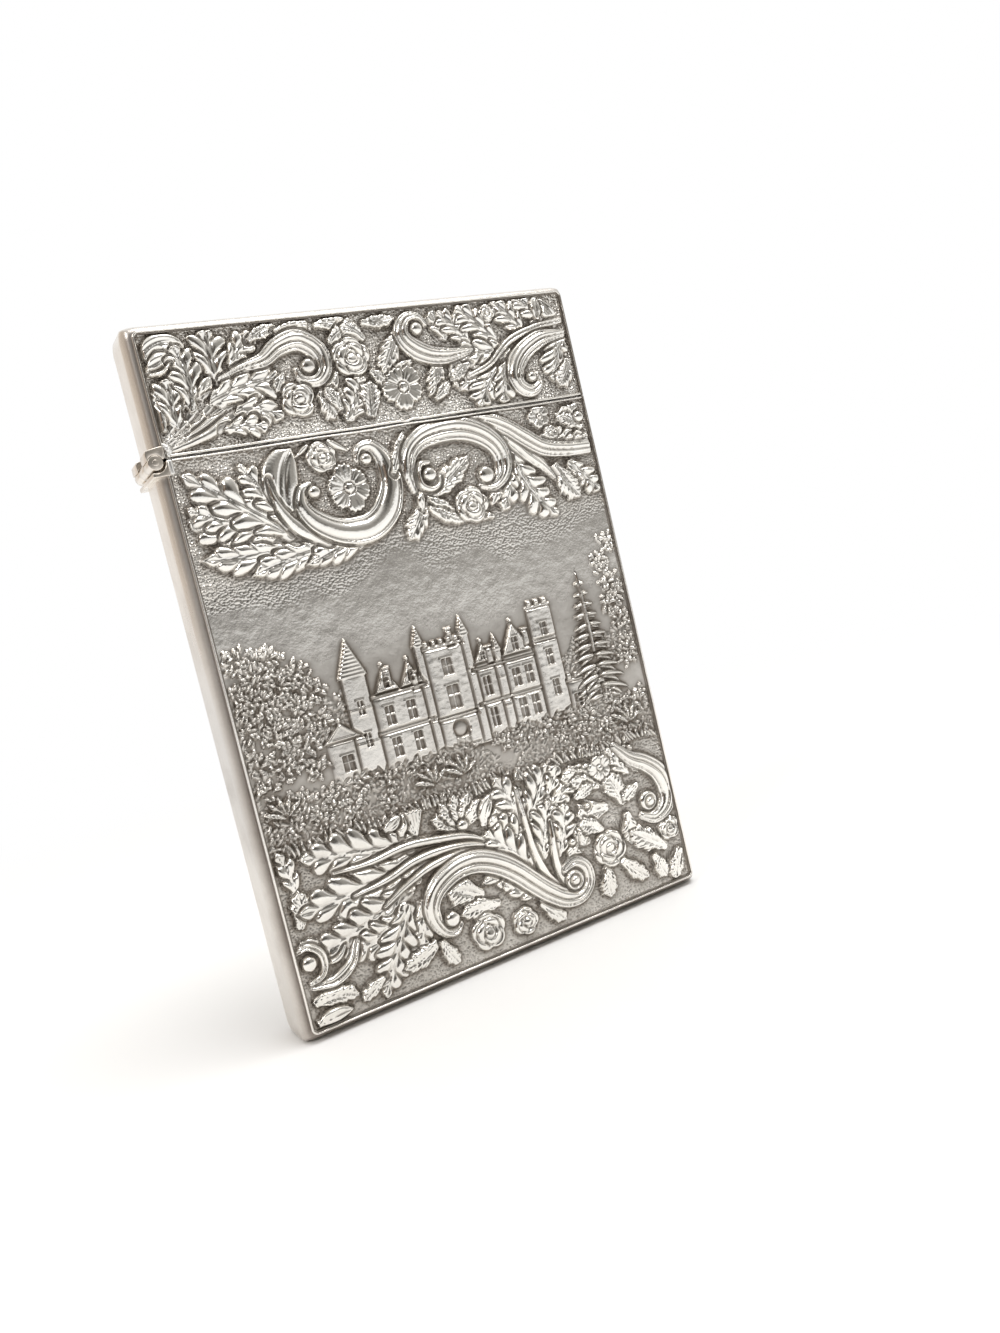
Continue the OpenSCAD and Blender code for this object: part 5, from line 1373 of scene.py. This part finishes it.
# Bands and rims
profile, worn_and_shaded = band_profile()
body_line = u_line(AXIS_Z - BODY_BEARER, BODY_TOP)
sweep("side_band", body_line, profile, "body", ["body_band"], banded, worn_and_shaded,
      low_shade=0.36)
lid_line = u_line(AXIS_Z + LID_BEARER, LID_BOTTOM, True)
sweep("lid_side_band", lid_line, profile, "lid", ["lid_band"], banded, worn_and_shaded, True)
for side, end in ((-1, "front"), (1, "back")):
    profile, worn_and_shaded = rim_profile(side)
    sweep(f"{end}_rim_wire", body_line, profile, "body", [f"body_{end}_rim"], rimmed,
          worn_and_shaded, False, 0.02, 5 + side)
    sweep(f"lid_{end}_rim_wire", u_line(LID_BOTTOM, LID_BOTTOM, True), profile, "lid",
          [f"lid_{end}_rim"], rimmed, worn_and_shaded, True, 0.02, 9 + side)
    strip(f"{end}_mouth_strip", BODY_TOP - 0.34, BODY_TOP - 0.05, side, "body",
          [f"body_{end}_mouth"], 21 + side)
    strip(f"lid_{end}_mouth_strip", LID_BOTTOM + 0.04, LID_BOTTOM + 0.42, side, "lid",
          [f"lid_{end}_mouth"], 24 + side)
hinge()

# Floor, light and camera
def floor():
    mesh = bpy.data.meshes.new("floor")
    reach = 3
    mesh.from_pydata([(-reach, -reach, 0), (reach, -reach, 0), (reach, reach, 0), (-reach, reach, 0)],
                     [], [(0, 1, 2, 3)])
    ground = bpy.data.objects.new("floor", mesh)
    bpy.context.collection.objects.link(ground)
    material = bpy.data.materials.new("floor_paper")
    material.use_nodes = True
    tree = material.node_tree
    add = tree.nodes.new
    shader = tree.nodes["Principled BSDF"]
    shader.inputs["Base Color"].default_value = (0.93, 0.93, 0.925, 1)
    shader.inputs["Roughness"].default_value = 0.9
    shader.inputs["Specular IOR Level"].default_value = 0
    place = add("ShaderNodeTexCoord").outputs["Object"]
    far = add("ShaderNodeVectorMath")
    far.operation = "LENGTH"
    link(tree, place, far.inputs[0])
    fade = add("ShaderNodeMapRange")
    fade.interpolation_type = "SMOOTHSTEP"
    fade.inputs["From Min"].default_value = 0.07
    fade.inputs["From Max"].default_value = 0.32
    link(tree, far.outputs["Value"], fade.inputs["Value"])
    path = add("ShaderNodeLightPath")
    seen = add("ShaderNodeMath")
    seen.operation = "MAXIMUM"
    link(tree, path.outputs["Is Camera Ray"], seen.inputs[0])
    link(tree, path.outputs["Is Glossy Ray"], seen.inputs[1])
    also = add("ShaderNodeMath")
    also.operation = "MAXIMUM"
    link(tree, seen.outputs["Value"], also.inputs[0])
    link(tree, path.outputs["Is Transmission Ray"], also.inputs[1])
    share = add("ShaderNodeMath")
    share.operation = "MULTIPLY"
    link(tree, fade.outputs["Result"], share.inputs[0])
    link(tree, also.outputs["Value"], share.inputs[1])
    glow = add("ShaderNodeEmission")
    glow.inputs["Color"].default_value = (1, 1, 1, 1)
    both = add("ShaderNodeMixShader")
    link(tree, share.outputs["Value"], both.inputs["Fac"])
    link(tree, shader.outputs["BSDF"], both.inputs[1])
    link(tree, glow.outputs["Emission"], both.inputs[2])
    link(tree, both.outputs["Shader"], tree.nodes["Material Output"].inputs["Surface"])
    mesh.materials.append(material)


def surroundings():
    """White tent with a greyer side in front, where the camera stands."""
    world = bpy.data.worlds.new("tent")
    bpy.context.scene.world = world
    world.use_nodes = True
    tree = world.node_tree
    add = tree.nodes.new
    view = add("ShaderNodeTexCoord").outputs["Generated"]
    tone = None
    for way, begin, full, tint in (((-0.417, -0.909, 0.0), -0.76, -0.2, (0.8, 0.79, 0.77)),
                                   ((-0.4, -0.9, 0.1), 0.68, 0.94, (0.16, 0.15, 0.14)),
                                   ((0.42, -0.9, 0.0), 0.52, 0.94, (0.38, 0.37, 0.355)),
                                   ((-0.9, -0.43, -0.1), 0.72, 0.95, (0.34, 0.28, 0.24)),
                                   ((-0.97, 0.25, 0.0), 0.3, 0.64, (0.72, 0.64, 0.57))):
        toward = add("ShaderNodeVectorMath")
        toward.operation = "DOT_PRODUCT"
        toward.inputs[1].default_value = way
        link(tree, view, toward.inputs[0])
        shade = add("ShaderNodeMapRange")
        shade.interpolation_type = "SMOOTHSTEP"
        shade.inputs["From Min"].default_value = begin
        shade.inputs["From Max"].default_value = full
        link(tree, toward.outputs["Value"], shade.inputs["Value"])
        wall = add("ShaderNodeMix")
        wall.data_type = "RGBA"
        wall.blend_type = "MULTIPLY"
        link(tree, shade.outputs["Result"], wall.inputs[0])
        wall.inputs[6].default_value = (1, 1, 1, 1)
        wall.inputs[7].default_value = (*tint, 1)
        if tone is not None:
            link(tree, tone, wall.inputs[6])
        tone = wall.outputs[2]
    link(tree, tone, tree.nodes["Background"].inputs["Color"])


def lamp(name, place, aim, size, power):
    light = bpy.data.lights.new(name, "AREA")
    light.shape = "DISK"
    light.size = size
    light.energy = power
    thing = bpy.data.objects.new(name, light)
    bpy.context.collection.objects.link(thing)
    thing.location = place
    way = np.array(aim, float) - np.array(place, float)
    flat = math.hypot(way[0], way[1])
    thing.rotation_euler = Euler((math.atan2(flat, -way[2]), 0, math.atan2(-way[0], way[1])))
    return thing


floor()
surroundings()
lamp("key_light", (0.2, -0.22, 0.85), (0, 0, 0.05), 0.5, 3.6)
lamp("side_light", (-0.62, -0.3, 0.6), (0, 0, 0.05), 0.3, 1.6)

camera = bpy.data.cameras.new("camera")
camera.lens = 28.854
camera.sensor_width = 36
camera.clip_start = 0.005
viewer = bpy.data.objects.new("camera", camera)
bpy.context.collection.objects.link(viewer)
viewer.location = (-0.06561, -0.148274, 0.055141)
viewer.rotation_euler = Euler([math.radians(a) for a in (85.588, 13.449, -28.136)])
bpy.context.scene.camera = viewer
bpy.context.scene.view_settings.view_transform = "Standard"
